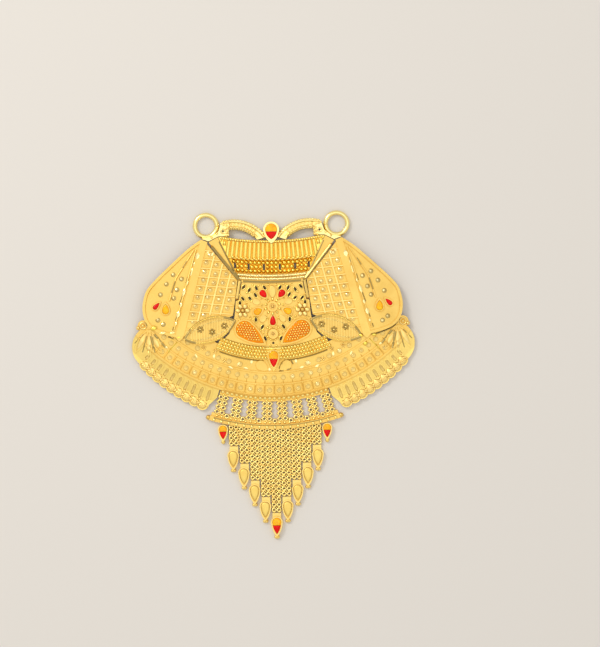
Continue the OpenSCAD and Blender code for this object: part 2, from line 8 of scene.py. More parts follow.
import bmesh
import bpy
from mathutils import Matrix, Vector
from mathutils.bvhtree import BVHTree


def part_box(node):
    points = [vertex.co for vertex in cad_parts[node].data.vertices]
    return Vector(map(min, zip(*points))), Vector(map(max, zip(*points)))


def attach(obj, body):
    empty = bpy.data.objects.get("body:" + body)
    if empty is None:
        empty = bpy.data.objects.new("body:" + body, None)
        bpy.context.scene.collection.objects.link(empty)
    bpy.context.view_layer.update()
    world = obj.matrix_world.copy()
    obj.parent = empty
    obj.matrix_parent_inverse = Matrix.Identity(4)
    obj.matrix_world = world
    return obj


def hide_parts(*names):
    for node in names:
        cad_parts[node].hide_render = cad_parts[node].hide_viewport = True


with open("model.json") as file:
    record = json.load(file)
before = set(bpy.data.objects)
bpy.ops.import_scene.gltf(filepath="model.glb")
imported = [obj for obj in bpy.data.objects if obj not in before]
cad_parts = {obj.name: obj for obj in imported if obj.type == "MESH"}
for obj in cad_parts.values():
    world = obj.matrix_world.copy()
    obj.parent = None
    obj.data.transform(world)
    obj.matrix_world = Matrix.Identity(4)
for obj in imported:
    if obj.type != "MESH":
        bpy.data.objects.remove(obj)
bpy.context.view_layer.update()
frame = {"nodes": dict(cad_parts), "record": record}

MM = 0.001
dice = random.Random(7)
# The drawing's height that lies on the frame's middle line
MIDDLE_V = -30.04
SIDES = (-1, 1)

# Radii about the neck's circles' centre, which lies far above the skirt's
NECK_CENTRE = (0, 47.55)
LIP_WIRE_R = 52.32
FLUTE_FOOT_R = 55.55
# Rows of twisted wire: radius, half length and height
ROPE_ROWS = ((58.75, 6.5, 2.0), (59.35, 6.1, 1.95))
CUT_BAND_R = 59.9
PANEL_Z = 1.75


def place(u, v, z):
    """A point of the drawing, in the frame's metres."""
    return Vector((u * MM, (v - MIDDLE_V) * MM, z * MM))


def polar(r, degrees_from_down, centre=(0, 0)):
    """The point at radius r and an angle from straight down, about a centre."""
    a = radians(degrees_from_down)
    return centre[0] + r * sin(a), centre[1] - r * cos(a)


def neck_point(r, u):
    return u, NECK_CENTRE[1] - sqrt(r * r - u * u)


def evenly(line, pitch):
    """Points along a line of (u, v), a pitch apart."""
    lengths = [math.dist(a, b) for a, b in zip(line, line[1:])]
    total = sum(lengths)
    count = max(1, round(total / pitch))
    found = []
    for k in range(count + 1):
        rest = total * k / count
        for (a, b), length in zip(zip(line, line[1:]), lengths):
            if rest <= length + 1e-9:
                t = rest / length
                found.append((a[0] + (b[0] - a[0]) * t, a[1] + (b[1] - a[1]) * t))
                break
            rest -= length
    return found


def steps(half, step):
    """The multiples of a step, from minus a half length to plus it."""
    count = int(half / step)
    return [k * step for k in range(-count, count + 1)]


def on_side(side, line):
    """A line of the right half, or its mirror image in the left half."""
    return [(side * u, v) for u, v in line]


# The CAD's surfaces, as seen from above
trees = {}
for node_name, node in frame["nodes"].items():
    mesh = node.data
    trees[node_name] = BVHTree.FromPolygons([v.co.copy() for v in mesh.vertices],
                                            [tuple(p.vertices) for p in mesh.polygons])
boxes = {name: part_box(name) for name in trees}
# The height from which a surface is looked for, and the least upright normal that a piece still leans with
SKY = 0.01
STEEP = 0.8


def top_at(u, v):
    """(CAD node, point, normal) of what lies on top at a point of the drawing, or None."""
    start = place(u, v, 0)
    start.z = SKY
    best = None
    for name, (low, high) in boxes.items():
        if not (low.x <= start.x <= high.x and low.y <= start.y <= high.y):
            continue
        hit, normal, _, _ = trees[name].ray_cast(start, Vector((0, 0, -1)))
        if hit is not None and (best is None or hit.z > best[1].z):
            best = (name, hit, normal if normal.z > 0 else -normal)
    return best


def seat(u, v, turn=0.0, on=None, lift=0.0):
    """The place on the surface at a point of the drawing: z is its normal, and x is turned by an angle.
    None where nothing is there, or where the CAD node on top isn't one of those that on names."""
    found = top_at(u, v)
    if found is None or (on and found[0] not in on):
        return None
    _, point, normal = found
    if normal.z < STEEP:
        normal = Vector((0, 0, 1))
    x = Vector((cos(turn), sin(turn), 0))
    x = (x - normal * x.dot(normal)).normalized()
    y = normal.cross(x)
    axes = Matrix((x, y, normal)).transposed().to_4x4()
    return Matrix.Translation(point + normal * lift * MM) @ axes


def flat_shift(at, shift):
    """A seat moved by (u, v) millimetres over the drawing."""
    return Matrix.Translation((shift[0] * MM, shift[1] * MM, 0)) @ at


def flat_seat(u, v, z, turn=0.0):
    return Matrix.Translation(place(u, v, z)) @ Matrix.Rotation(turn, 4, "Z")


def put(name, data):
    """A new object in the scene."""
    item = bpy.data.objects.new(name, data)
    bpy.context.scene.collection.objects.link(item)
    return item


class Work:
    """A piece in the making: its points, its faces, and which of them are smooth."""

    def __init__(self):
        self.points = []
        self.faces = []
        self.smooth = []

    def add(self, points, faces, smooth=True):
        base = len(self.points)
        self.points += points
        self.faces += [[base + i for i in face] for face in faces]
        self.smooth += [smooth] * len(faces)

    def finish(self, name, material, slot="gold_sheet"):
        mesh = bpy.data.meshes.new(name)
        mesh.from_pydata([tuple(p) for p in self.points], [], self.faces)
        mesh.polygons.foreach_set("use_smooth", self.smooth)
        mesh.materials.append(material)
        shape = bmesh.new()
        shape.from_mesh(mesh)
        bmesh.ops.recalc_face_normals(shape, faces=shape.faces[:])
        shape.to_mesh(mesh)
        shape.free()
        piece = put(name, mesh)
        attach(piece, "root")


def ball_template():
    shape = bmesh.new()
    bmesh.ops.create_icosphere(shape, subdivisions=2, radius=1)
    points = [v.co.copy() for v in shape.verts]
    faces = [[v.index for v in f.verts] for f in shape.faces]
    shape.free()
    return points, faces


BALL = ball_template()


def bead(work, at, r, long=1.0, high=1.0):
    """A round bead at a seat, r in millimetres, made longer along its x and higher along its z."""
    if at is None:
        return
    points, faces = BALL
    scale = Matrix.Diagonal((r * MM * long, r * MM, r * MM * high, 1))
    work.add([at @ scale @ p for p in points], faces)


def turned(work, at, profile, sides=14, smooth=True, long=1.0):
    """A shape turned about the seat's z from (radius, height) pairs. A radius of 0 closes it."""
    if at is None:
        return
    points = []
    rings = []
    for r, z in profile:
        if r == 0:
            rings.append([len(points)])
            points.append(at @ Vector((0, 0, z * MM)))
            continue
        rings.append(list(range(len(points), len(points) + sides)))
        for k in range(sides):
            a = 2 * pi * k / sides
            points.append(at @ Vector((r * MM * long * cos(a), r * MM * sin(a), z * MM)))
    faces = []
    for low, high in zip(rings, rings[1:]):
        for k in range(sides):
            a, b = low[k % len(low)], low[(k + 1) % len(low)]
            c, d = high[(k + 1) % len(high)], high[k % len(high)]
            faces.append(list(dict.fromkeys((a, b, c, d))))
    work.add(points, faces, smooth)


def bands(count, size, closed=False, capped=True):
    """Faces between neighbouring rings of points. Where the rings don't close, each end gets a face."""
    faces = []
    for k in range(count if closed else count - 1):
        a, b = k * size, (k + 1) % count * size
        faces += [[a + j, a + (j + 1) % size, b + (j + 1) % size, b + j] for j in range(size)]
    if capped and not closed:
        faces += [list(range(size)), list(range(count * size - 1, (count - 1) * size - 1, -1))]
    return faces


def neighbours(line, k, closed):
    """The points before and after one of a line or a loop, or the point itself at a line's end."""
    before = line[k - 1] if closed or k else line[k]
    after = line[(k + 1) % len(line)] if closed or k < len(line) - 1 else line[k]
    return before, after


# A mark's edge stands a little over the metal, its foot lies in it, and its facets are shallow
FACET_SLOPE, MARK_LIFT, MARK_SINK = 0.13, 0.03, 0.06
MARK_SHOULDER, MARK_RIDGE = 0.35, 0.45
# The height of a strip's ridge and of its shoulders, for dull lines and for seams
DULL_LINE, SEAM_LINE = (0.08, 0.03), (0.06, 0.03)


def cut_mark(work, at, half_l, half_w):
    """A long lozenge of shallow bright facets, as a graver's stroke leaves them."""
    if at is None:
        return
    x = half_l * MARK_SHOULDER
    outline = [(-half_l, 0), (-x, -half_w), (x, -half_w), (half_l, 0), (x, half_w), (-x, half_w)]
    ridge = MARK_LIFT + FACET_SLOPE * half_w
    points = [at @ Vector((x * MM, y * MM, z * MM)) for z in (-MARK_SINK, MARK_LIFT) for x, y in outline]
    points += [at @ Vector((x * half_l * MM, 0, ridge * MM)) for x in (-MARK_RIDGE, MARK_RIDGE)]
    faces = [[5, 4, 3, 2, 1, 0]]
    faces += [[k, (k + 1) % 6, 6 + (k + 1) % 6, 6 + k] for k in range(6)]
    faces += [[6, 7, 12], [7, 8, 13, 12], [8, 9, 13], [9, 10, 13], [10, 11, 12, 13], [11, 6, 12]]
    work.add(points, faces, False)


# A strip's shoulders, as a share of its half width
SHOULDER = 0.9


def swept(work, line, half_w, height, rise, on, sink=MARK_SINK, closed=False):
    """A strip with a roof-shaped top along a line of the drawing. Its height follows the surface under it."""
    seats = []
    for k, (u, v) in enumerate(line):
        before, after = neighbours(line, k, closed)
        at = seat(u, v, math.atan2(after[1] - before[1], after[0] - before[0]), on)
        if at is not None:
            seats.append(at)
    if len(seats) < 2:
        return
    flat = half_w * SHOULDER
    section = ((-half_w, -sink), (-flat, rise), (0, height), (flat, rise), (half_w, -sink))
    points = [at @ Vector((0, y * MM, z * MM)) for at in seats for y, z in section]
    work.add(points, bands(len(seats), len(section), closed), False)


def blade(work, root, degrees, near, far, half_w, on):
    """A shallow bright blade along a ray from a root of the drawing, widest in its middle."""
    parts = 10
    points = []
    for k in range(parts + 1):
        u, v = polar(near + (far - near) * k / parts, degrees, root)
        at = seat(u, v, radians(degrees) - radians(90), on)
        if at is None:
            return
        wide = half_w * sin(pi * (k + 0.25) / (parts + 0.5))
        section = ((-wide, -MARK_SINK), (-wide, MARK_LIFT), (0, MARK_LIFT + FACET_SLOPE * wide),
                   (wide, MARK_LIFT), (wide, -MARK_SINK))
        points += [at @ Vector((0, y * MM, z * MM)) for y, z in section]
    work.add(points, bands(parts + 1, len(section)), False)


def tube(work, centres, r, closed=False, sides=6):
    """A round wire through points of the frame, r in millimetres."""
    points = []
    for k, centre in enumerate(centres):
        before, after = neighbours(centres, k, closed)
        along = (after - before).normalized()
        across = along.cross(Vector((0, 0, 1))).normalized()
        up = across.cross(along)
        for j in range(sides):
            a = 2 * pi * j / sides
            points.append(centre + (across * cos(a) + up * sin(a)) * r * MM)
    work.add(points, bands(len(centres), sides, closed))


def wire_ring(work, at, radius, r, long=1.0, sides=18):
    """A ring of round wire that lies on the surface."""
    centres = []
    for k in range(sides):
        a = 2 * pi * k / sides
        centres.append(at @ Vector((radius * long * MM * cos(a), radius * MM * sin(a), 0)))
    tube(work, centres, r, closed=True)


STUD_TILT = 0.2


def stud(work, at, r):
    """A small stud, cut with six faces round a flat point and set a little askew."""
    tilts = [Matrix.Rotation(dice.uniform(-STUD_TILT, STUD_TILT), 4, axis) for axis in "XY"]
    profile = ((0, -0.08), (r, -0.08), (0.95 * r, 0.06), (0.6 * r, 0.15), (0, 0.17))
    turned(work, at @ (tilts[0] @ tilts[1]), profile, 6, False)


def disc(work, at, r):
    """A flat disc that frames a stud. Under a shifted stud, its uncovered edge is a crescent of painted
    shade.
    """
    turned(work, at, ((0, -0.05), (r, -0.05), (r, 0.02), (0.9 * r, 0.035), (0, 0.03)), 14)


def dish(work, at, r, long=1.0):
    """A shallow cut dish with a fine raised rim."""
    profile = ((0, -0.05), (r, -0.05), (r, 0.03), (0.88 * r, 0.06), (0.7 * r, 0.035), (0, 0.02))
    turned(work, at, profile, 16, True, long)


def flower(work, at, petals, radius, r, heart=None):
    """A ring of small beads round a middle one, which may belong to another piece."""
    if at is None:
        return
    bead(heart or work, at, r)
    for k in range(petals):
        a = 2 * pi * k / petals
        shift = Matrix.Translation((radius * MM * cos(a), radius * MM * sin(a), 0))
        bead(work, at @ shift @ Matrix.Rotation(a, 4, "Z"), r * 0.8, long=1.25)


def both(*places):
    """Each (u, v, turn) of the right half, and its mirror image in the left half."""
    for u, v, turn in places:
        yield u, v, turn
        yield -u, v, pi - turn


def pair(*places):
    """Each (u, v) of the right half, and its mirror image in the left half."""
    for u, v in places:
        yield u, v
        yield -u, v


EDGE_CENTRE_V, EDGE_R = -4.9, 34.4


def edge_r(degrees):
    """The skirt's scalloped edge, measured from the skirt's centre."""
    a = radians(degrees)
    return -EDGE_CENTRE_V * cos(a) + sqrt(EDGE_R ** 2 - (EDGE_CENTRE_V * sin(a)) ** 2)


def drop_outline(half_w, tip):
    """The outline of a drop with a round top and a tip, about the middle of its widest line."""
    count = 12
    r = (tip ** 2 + half_w ** 2) / (2 * half_w)
    sweep = math.asin(min(1.0, tip / r))
    points = []
    for k in range(2 * count):
        a = pi * k / (2 * count)
        points.append((half_w * cos(a), half_w * sin(a)))
    for edge, shares in ((-1, range(count)), (1, range(count, 0, -1))):
        for k in shares:
            a = sweep * k / count
            points.append((edge * (r * cos(a) - r + half_w), -r * sin(a)))
    return points


def inside(outline, x, y):
    """Whether a point lies inside an outline."""
    found = False
    for (ax, ay), (bx, by) in zip(outline, outline[1:] + outline[:1]):
        if (ay > y) != (by > y) and x < ax + (y - ay) / (by - ay) * (bx - ax):
            found = not found
    return found


def dome_height(half_w, tip, x, y):
    """How high a drop's dome stands at a point, from 0 at its edge to 1 in the middle."""
    low = 0.0
    for k in range(1, 21):
        scale = k / 20
        if inside([(px * scale, py * scale) for px, py in drop_outline(half_w, tip)], x, y):
            break
        low = scale
    return sqrt(max(0.0, 1 - low * low))


DOME_STEPS = (1.0, 0.97, 0.9, 0.78, 0.6, 0.4, 0.2)


def dome(work, outline, at, height, skirt, power=2):
    """A smooth dome over an outline, with a short wall below its edge. A higher power flattens its middle."""
    levels = [(1, -skirt)] + [(scale, height * sqrt(1 - scale ** power)) for scale in DOME_STEPS]
    points = [at @ Vector((x * scale * MM, y * scale * MM, z * MM))
              for scale, z in levels for x, y in outline]
    points += [at @ Vector((0, 0, height * MM)), at @ Vector((0, 0, -skirt * MM))]
    size = len(outline)
    top = len(points) - 2
    last = top - size
    faces = bands(len(levels), size, capped=False)
    faces += [[last + j, last + (j + 1) % size, top] for j in range(size)]
    faces += [[(j + 1) % size, j, top + 1] for j in range(size)]
    work.add(points, faces)


ENAMEL_CLEAR = 0.03
ENAMEL_DEPTH = 0.24
# The enamel's edge lies a little below the cup's rim, and its middle a little above it
ENAMEL_EDGE_DROP = 0.06
ENAMEL_RISE = 0.17
# How much of a drop's length its rim takes, in rim widths
TIP_RIMS = 2.2


def enamel_dome(node_name, cup, side, above=None, below=None):
    """Domed enamel in a cup. above or below keeps only that side of a line across the drop."""
    u, v, degrees, half_w, tip, z, rim = cup
    work = Work()
    local = drop_outline(half_w - rim - ENAMEL_CLEAR, tip - TIP_RIMS * rim - 2 * ENAMEL_CLEAR)
    dome(work, local, Matrix.Identity(4), ENAMEL_RISE, ENAMEL_DEPTH)
    shape = bmesh.new()
    corners = [shape.verts.new(p) for p in work.points]
    for face in work.faces:
        shape.faces.new([corners[i] for i in face]).smooth = True
    for level, keep in ((above, 1), (below, -1)):
        if level is None:
            continue
        line = (level + keep * ENAMEL_CLEAR) * MM
        bmesh.ops.bisect_plane(shape, geom=shape.verts[:] + shape.edges[:] + shape.faces[:],
                               plane_co=(0, line, 0), plane_no=(0, -keep, 0), clear_outer=True)
        bmesh.ops.holes_fill(shape, edges=[e for e in shape.edges if e.is_boundary], sides=0)
    turn = Matrix.Rotation(radians(degrees), 4, "Z")
    placed = Matrix.Diagonal((side, 1, 1, 1)) @ Matrix.Translation(place(u, v, z - ENAMEL_EDGE_DROP)) @ turn
    bmesh.ops.transform(shape, matrix=placed, verts=shape.verts[:])
    bmesh.ops.recalc_face_normals(shape, faces=shape.faces[:])
    mesh = bpy.data.meshes.new(node_name + "_dome")
    shape.to_mesh(mesh)
    shape.free()
    mesh.materials.append(look_of(node_name))
    piece = put(node_name + "_dome", mesh)
    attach(piece, "root")
    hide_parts(node_name)


# Materials

def new_node(tree, kind, inputs=None, **settings):
    """A shader node with its settings, and each input set to a value or linked to another node's output."""
    node = tree.nodes.new("ShaderNode" + kind)
    for name, value in settings.items():
        setattr(node, name, value)
    for name, value in (inputs or {}).items():
        if isinstance(value, bpy.types.NodeSocket):
            tree.links.new(value, node.inputs[name])
        else:
            node.inputs[name].default_value = value
    return node


def math_node(tree, operation, *values):
    return new_node(tree, "Math", dict(enumerate(values)), operation=operation).outputs[0]


def ranged(tree, value, *ends):
    """A value, mapped from a range to another: the ends of the first one, then those of the second."""
    names = ("From Min", "From Max", "To Min", "To Max")
    return new_node(tree, "MapRange", {"Value": value, **dict(zip(names, ends))}).outputs["Result"]


def mixed(tree, share, start, end):
    """A colour between two colours, by a share."""
    return new_node(tree, "Mix", {"Factor": share, "A": start, "B": end}, data_type="RGBA").outputs["Result"]


def new_group(name, inputs, outputs):
    """An empty shader group with named number inputs and their values, and named number outputs."""
    group = bpy.data.node_groups.new(name, "ShaderNodeTree")
    for label, value in inputs.items():
        socket = group.interface.new_socket(label, in_out="INPUT", socket_type="NodeSocketFloat")
        socket.default_value = value
    for label in outputs:
        group.interface.new_socket(label, in_out="OUTPUT", socket_type="NodeSocketFloat")
    return group, group.nodes.new("NodeGroupInput").outputs, group.nodes.new("NodeGroupOutput").inputs


def satin_group():
    """The grain of a satin sheet: tiny pits, and a slow change of tone over the metal."""
    group, given, out = new_group("satin grain", {"Grain Size": 0.1, "Cloud Size": 3.0}, ("Height", "Tone"))
    where = new_node(group, "TexCoord").outputs["Object"]
    noises = []
    for size, detail in (("Grain Size", 2.0), ("Cloud Size", 3.0)):
        scale = math_node(group, "DIVIDE", 1 / MM, given[size])
        noise = new_node(group, "TexNoise", {"Vector": where, "Scale": scale, "Detail": detail})
        noises.append(noise.outputs["Fac"])
    grain, cloud = noises
    group.links.new(grain, out["Height"])
    tone = math_node(group, "MULTIPLY_ADD", grain, 0.35, math_node(group, "MULTIPLY", cloud, 0.65))
    group.links.new(tone, out["Tone"])
    return group


def make_painted_shade_group():
    """A mask of painted shade, which is 1 in the narrow recesses between beads, wires and sheets, and 0 on
    open metal.
    """
    group, given, out = new_group("painted recess shade mask", {"Reach": 0.6 * MM, "Contrast": 1.6}, ("Painted Shade",))
    open_sky = new_node(group, "AmbientOcclusion", {"Distance": given["Reach"]}, samples=6)
    closed = math_node(group, "SUBTRACT", 1.0, open_sky.outputs["AO"])
    strong = math_node(group, "MULTIPLY", closed, given["Contrast"])
    group.links.new(math_node(group, "MINIMUM", strong, 1.0), out["Painted Shade"])
    return group


SATIN = satin_group()
PAINTED_SHADE_GROUP = make_painted_shade_group()


def new_material(name, values):
    """A new material with values for its Principled shader, its node tree, and that shader's inputs."""
    material = bpy.data.materials.new(name)
    material.use_nodes = True
    shader = material.node_tree.nodes["Principled BSDF"].inputs
    for label, value in values.items():
        shader[label].default_value = value
    return material, material.node_tree, shader


def satin_tone(tree, shader, grain, cloud, bump):
    """Bumps a material with the satin grain, whose sizes are in millimetres. Returns the grain's tone."""
    satin = new_node(tree, "Group", {"Grain Size": grain, "Cloud Size": cloud}, node_tree=SATIN)
    ridge = new_node(tree, "Bump", {"Distance": bump * MM, "Height": satin.outputs["Height"]})
    tree.links.new(ridge.outputs["Normal"], shader["Normal"])
    return satin.outputs["Tone"]


def painted_recess_shade(tree, reach, contrast):
    """The mask of painted shade in recesses, whose reach is in millimetres."""
    return new_node(tree, "Group", {"Reach": reach * MM, "Contrast": contrast}, node_tree=PAINTED_SHADE_GROUP).outputs[0]


def two_tone(tree, shader, share, bright, deep):
    """Colours a material between its bright and its deep colour, by a share that stops at 1."""
    share = math_node(tree, "MINIMUM", share, 1.0)
    tree.links.new(mixed(tree, share, (*bright, 1), (*deep, 1)), shader["Base Color"])


def gold(name, bright, deep, low_rough, high_rough, grain, cloud, bump, reach, contrast):
    """A gold: its bright and deep colour, its roughness range, its grain in millimetres and how far it bumps,
    and the reach and contrast of the painted shade, in the deep colour, in its recesses."""
    material, tree, shader = new_material(name, {"Metallic": 1.0})
    tone = satin_tone(tree, shader, grain, cloud, bump)
    # The share of the deep colour: painted shade in recesses, plus a random tone of the grain
    share = math_node(tree, "ADD", painted_recess_shade(tree, reach, contrast), ranged(tree, tone, 0.35, 0.7, 0.0, 0.36))
    two_tone(tree, shader, share, bright, deep)
    tree.links.new(ranged(tree, tone, 0.3, 0.7, low_rough, high_rough), shader["Roughness"])
    return material


def enamel(name, bright, deep, coat):
    """Glossy enamel: its colour deepens in slow clouds, and near its rim with painted shade, and its coat is
    smooth.
    """
    material, tree, shader = new_material(name, {"Roughness": 0.3, "Specular IOR Level": 0.05,
                                                 "Coat Weight": coat, "Coat Roughness": 0.05})
    tone = satin_tone(tree, shader, 0.25, 0.9, 0.01)
    share = math_node(tree, "MULTIPLY_ADD", ranged(tree, tone, 0.4, 0.62), 0.75, painted_recess_shade(tree, 0.35, 2.0))
    two_tone(tree, shader, share, bright, deep)
    return material


SATIN_LOOK = ((0.82, 0.56, 0.152), (0.72, 0.4, 0.065), 0.28, 0.42, 0.17, 3.5, 0.012, 0.35, 1.5)
SATIN_GOLD = gold("satin sheet gold", *SATIN_LOOK)
LEAF_GOLD = gold("leaf satin gold", (0.9, 0.64, 0.19), (0.76, 0.49, 0.12),
                 0.36, 0.48, 0.12, 3.0, 0.01, 0.3, 1.5)
FLUTE_GOLD = gold("fluted gold", (1.0, 0.8, 0.2), (0.95, 0.5, 0.03), 0.18, 0.28, 0.2, 2.0, 0.003, 0.3, 0.8)
DEEP_GOLD = gold("deep yellow gold", (1.0, 0.69, 0.1), (0.55, 0.19, 0.0),
                 0.12, 0.2, 0.2, 2.0, 0.002, 0.45, 1.5)
BEAD_GOLD = gold("bead gold", (1.0, 0.8, 0.24), (0.93, 0.62, 0.1), 0.18, 0.28, 0.2, 2.0, 0.002, 0.3, 0.8)
CHAIN_GOLD = gold("chain gold", (1.0, 0.85, 0.32), (1.0, 0.56, 0.08), 0.2, 0.3, 0.2, 2.0, 0.002, 0.25, 0.65)
DROP_GOLD = gold("drop gold", (0.9, 0.67, 0.19), (0.82, 0.49, 0.08), 0.42, 0.52, 0.1, 2.0, 0.01, 0.35, 1.3)
DROP_RIM_GOLD = gold("drop rim gold", (0.96, 0.74, 0.25), (0.88, 0.56, 0.13),
                     0.42, 0.52, 0.1, 2.0, 0.01, 0.3, 1.0)
# Pale gold for bright cut facets, also used for painted glints on strokes, studs and dimples
CUT_AND_GLINT_GOLD = gold("bright cut gold and painted glints", (1.0, 0.85, 0.4), (0.85, 0.6, 0.2), 0.1, 0.2, 0.3, 1.5, 0.001, 0.3, 0.6)
# Darker gold for dishes and discs: painted shade in dimples and in the crescents beside studs
DISH_SHADE_GOLD = gold("dimple gold with painted shade", (0.78, 0.555, 0.18), (0.6, 0.4, 0.1), 0.3, 0.42, 0.12, 1.2, 0.006, 0.3, 0.8)
EDGE_GOLD = gold("edge gold", (1.0, 0.84, 0.35), (0.9, 0.58, 0.12), 0.16, 0.26, 0.2, 1.5, 0.002, 0.3, 0.9)
GRANULE_GOLD = gold("granule gold", (1.0, 0.8, 0.15), (0.9, 0.48, 0.03),
                    0.12, 0.2, 0.2, 1.5, 0.002, 0.35, 1.0)
SEAM_AND_SHADE_GOLD = gold("seam gold and painted shadow", (0.86, 0.5, 0.1), (0.6, 0.3, 0.04), 0.3, 0.4, 0.15, 1.5, 0.003, 0.3, 1.0)
PETAL_GOLD = gold("petal gold", (1.0, 0.76, 0.27), (0.78, 0.48, 0.12), 0.3, 0.42, 0.1, 1.5, 0.004, 0.35, 1.2)
# Dull gold for cut lines, also used for painted shade: crescents beside studs and dark lines at steps and
# edges
DULL_AND_SHADE_GOLD = gold("dull cut and painted shade gold", (0.5, 0.365, 0.125), (0.32, 0.205, 0.045),
                 0.26, 0.38, 0.12, 1.2, 0.004, 0.3, 0.8)
SKIRT_LIT_BAND_GOLD = gold("skirt satin gold with painted light", *SATIN_LOOK)
# Painted light for the skirt's sloping band: its colour, the radius where it starts, its fade and its share
BAND_LIGHT_GOLD, BAND_LIGHT_FROM_R, BAND_LIGHT_FADE, BAND_LIGHT_SHARE = (0.92, 0.69, 0.2, 1), 34.2, 0.2, 0.75


def paint_band_light(material):
    """Pales a gold beyond a radius about the skirt's centre: painted light on the fan's sloping band, which
    the lamps leave darker than the flat sheet.
    """
    tree = material.node_tree
    base = tree.nodes["Principled BSDF"].inputs["Base Color"]
    where = new_node(tree, "TexCoord").outputs["Object"]
    flat = new_node(tree, "VectorMath", {0: where, 1: (1, 1, 0)}, operation="MULTIPLY").outputs["Vector"]
    centre = (0, -MIDDLE_V * MM, 0)
    away = new_node(tree, "VectorMath", {0: flat, 1: centre}, operation="DISTANCE").outputs["Value"]
    ends = (BAND_LIGHT_FROM_R * MM, (BAND_LIGHT_FROM_R + BAND_LIGHT_FADE) * MM, 0.0, BAND_LIGHT_SHARE)
    tree.links.new(mixed(tree, ranged(tree, away, *ends), base.links[0].from_socket, BAND_LIGHT_GOLD), base)


paint_band_light(SKIRT_LIT_BAND_GOLD)
ORANGE_ENAMEL = enamel("orange enamel", (1.0, 0.58, 0.004), (0.92, 0.28, 0.001), 0.5)
MANGO_ENAMEL = enamel("mango enamel", (1.0, 0.4, 0.001), (0.92, 0.23, 0.001), 0.2)
RED_ENAMEL = enamel("red enamel", (0.86, 0.005, 0.001), (0.6, 0.003, 0.001), 0.3)

SLOT_LOOKS = {"gold_sheet": SATIN_GOLD, "gold_deep": DEEP_GOLD, "gold_chain": CHAIN_GOLD,
              "gold_drop": DROP_RIM_GOLD, "enamel_orange": ORANGE_ENAMEL, "enamel_red": RED_ENAMEL}
slot_of = {part["node"]: part["material_slot"] for part in frame["record"]["subparts"]}
# Nodes whose finish isn't their slot's
NODE_LOOKS = {"crest": EDGE_GOLD, "skirt": SKIRT_LIT_BAND_GOLD, "neck_band": FLUTE_GOLD, "bead_arcs": BEAD_GOLD,
              "leaf_left": LEAF_GOLD, "leaf_right": LEAF_GOLD,
              "mango_enamel_left": MANGO_ENAMEL, "mango_enamel_right": MANGO_ENAMEL}


def look_of(node_name):
    return NODE_LOOKS.get(node_name) or SLOT_LOOKS[slot_of[node_name]]


# CAD nodes get their finish. Their meshes carry exact normals, which modifiers would spoil
for node_name, node in frame["nodes"].items():
    node.data.materials.clear()
    node.data.materials.append(look_of(node_name))

# Arches: beaded wires, teeth on the inner edge, and small rings between the wires
CREST = ["crest"]
ARCH_CENTRE = (7.2, -8)
# Rows of beads: radius, height, size, first and last angle, and step
ARCH_ROWS = ((7.42, 1, 0.27, 166, 232, 4.2), (5.82, 0.92, 0.23, 172, 224, 4.4),
             (6.1, 1.12, 0.2, 172, 226, 3.4))
PLATE_LINES = ([(8.15, -0.98), (8.9, -1), (9.7, -1.2), (10.3, -1.55)],
               [(8.15, -3.45), (9.2, -3.55), (10.3, -3.7)], [(8.15, -1.9), (8.15, -3.3)])
PLATE_BEADS = ((10.3, -3), (9.9, -2.2), (8.45, -2.9), (8.45, -1.5), (9, -1.4), (11.3, -3.75), (8.5, -2.2))
RING_ROW_R, RING_ROW_FIRST, RING_ROW_STEP, RING_ROW_Z = 6.7, 170, 5.9, 0.98
beads = Work()
rings = Work()


def on_arch(side, r, degrees, z):
    """A seat on an arch, at radius r about the arch's own centre."""
    u, v = polar(r, degrees, ARCH_CENTRE)
    return flat_seat(side * u, v, z)


for side in SIDES:
    for r, z, size, first, last, step in ARCH_ROWS:
        for k in range(int((last - first) / step) + 1):
            bead(beads, on_arch(side, r, first + k * step, z), size)
    for k in range(9):
        at = on_arch(side, RING_ROW_R, RING_ROW_FIRST + k * RING_ROW_STEP, RING_ROW_Z)
        wire_ring(rings, at, 0.2, 0.07, sides=12)
for u, v in pair((9.15, -2.6)):
    wire_ring(rings, seat(u, v, on=CREST) or flat_seat(u, v, 1.3), 0.42, 0.12)
for u, v in pair(*PLATE_BEADS):
    bead(beads, seat(u, v, on=CREST), 0.22)
for side in SIDES:
    for line in PLATE_LINES:
        for u, v in evenly(line, 0.33):
            bead(beads, seat(side * u, v, on=CREST), 0.2)
beads.finish("arch_beads", EDGE_GOLD)
rings.finish("arch_rings", EDGE_GOLD)

# Neck: beads on its lip and at the flutes' feet
LIP_BEAD_PITCH, LIP_BEAD_Z, FLUTE_PITCH, NECK_BEAD_R = 0.45, 1.95, 0.82, 0.27
beads = Work()
for k in range(-21, 22):
    bead(beads, flat_seat(*neck_point(LIP_WIRE_R, k * LIP_BEAD_PITCH), LIP_BEAD_Z), NECK_BEAD_R)
for k in range(-9, 10):
    bead(beads, seat(*neck_point(FLUTE_FOOT_R, k * FLUTE_PITCH), on=["neck_band"]), NECK_BEAD_R)
beads.finish("neck_beads", BEAD_GOLD, "gold_deep")

# Short flutes that fill the band's corners, where the straps cut it off
FLUTE_STEP, FLUTE_TOP_R = 0.872, 52.65
flutes = Work()
for number, foot_r, size in ((11, 53.6, 0.32), (11.95, 52.95, 0.24)):
    for side in SIDES:
        ends = [polar(r, side * number * FLUTE_STEP, NECK_CENTRE) for r in (FLUTE_TOP_R, foot_r)]
        tube(flutes, [place(u, v, PANEL_Z) for u, v in ends], size, sides=12)
flutes.finish("end_flutes", FLUTE_GOLD, "gold_deep")

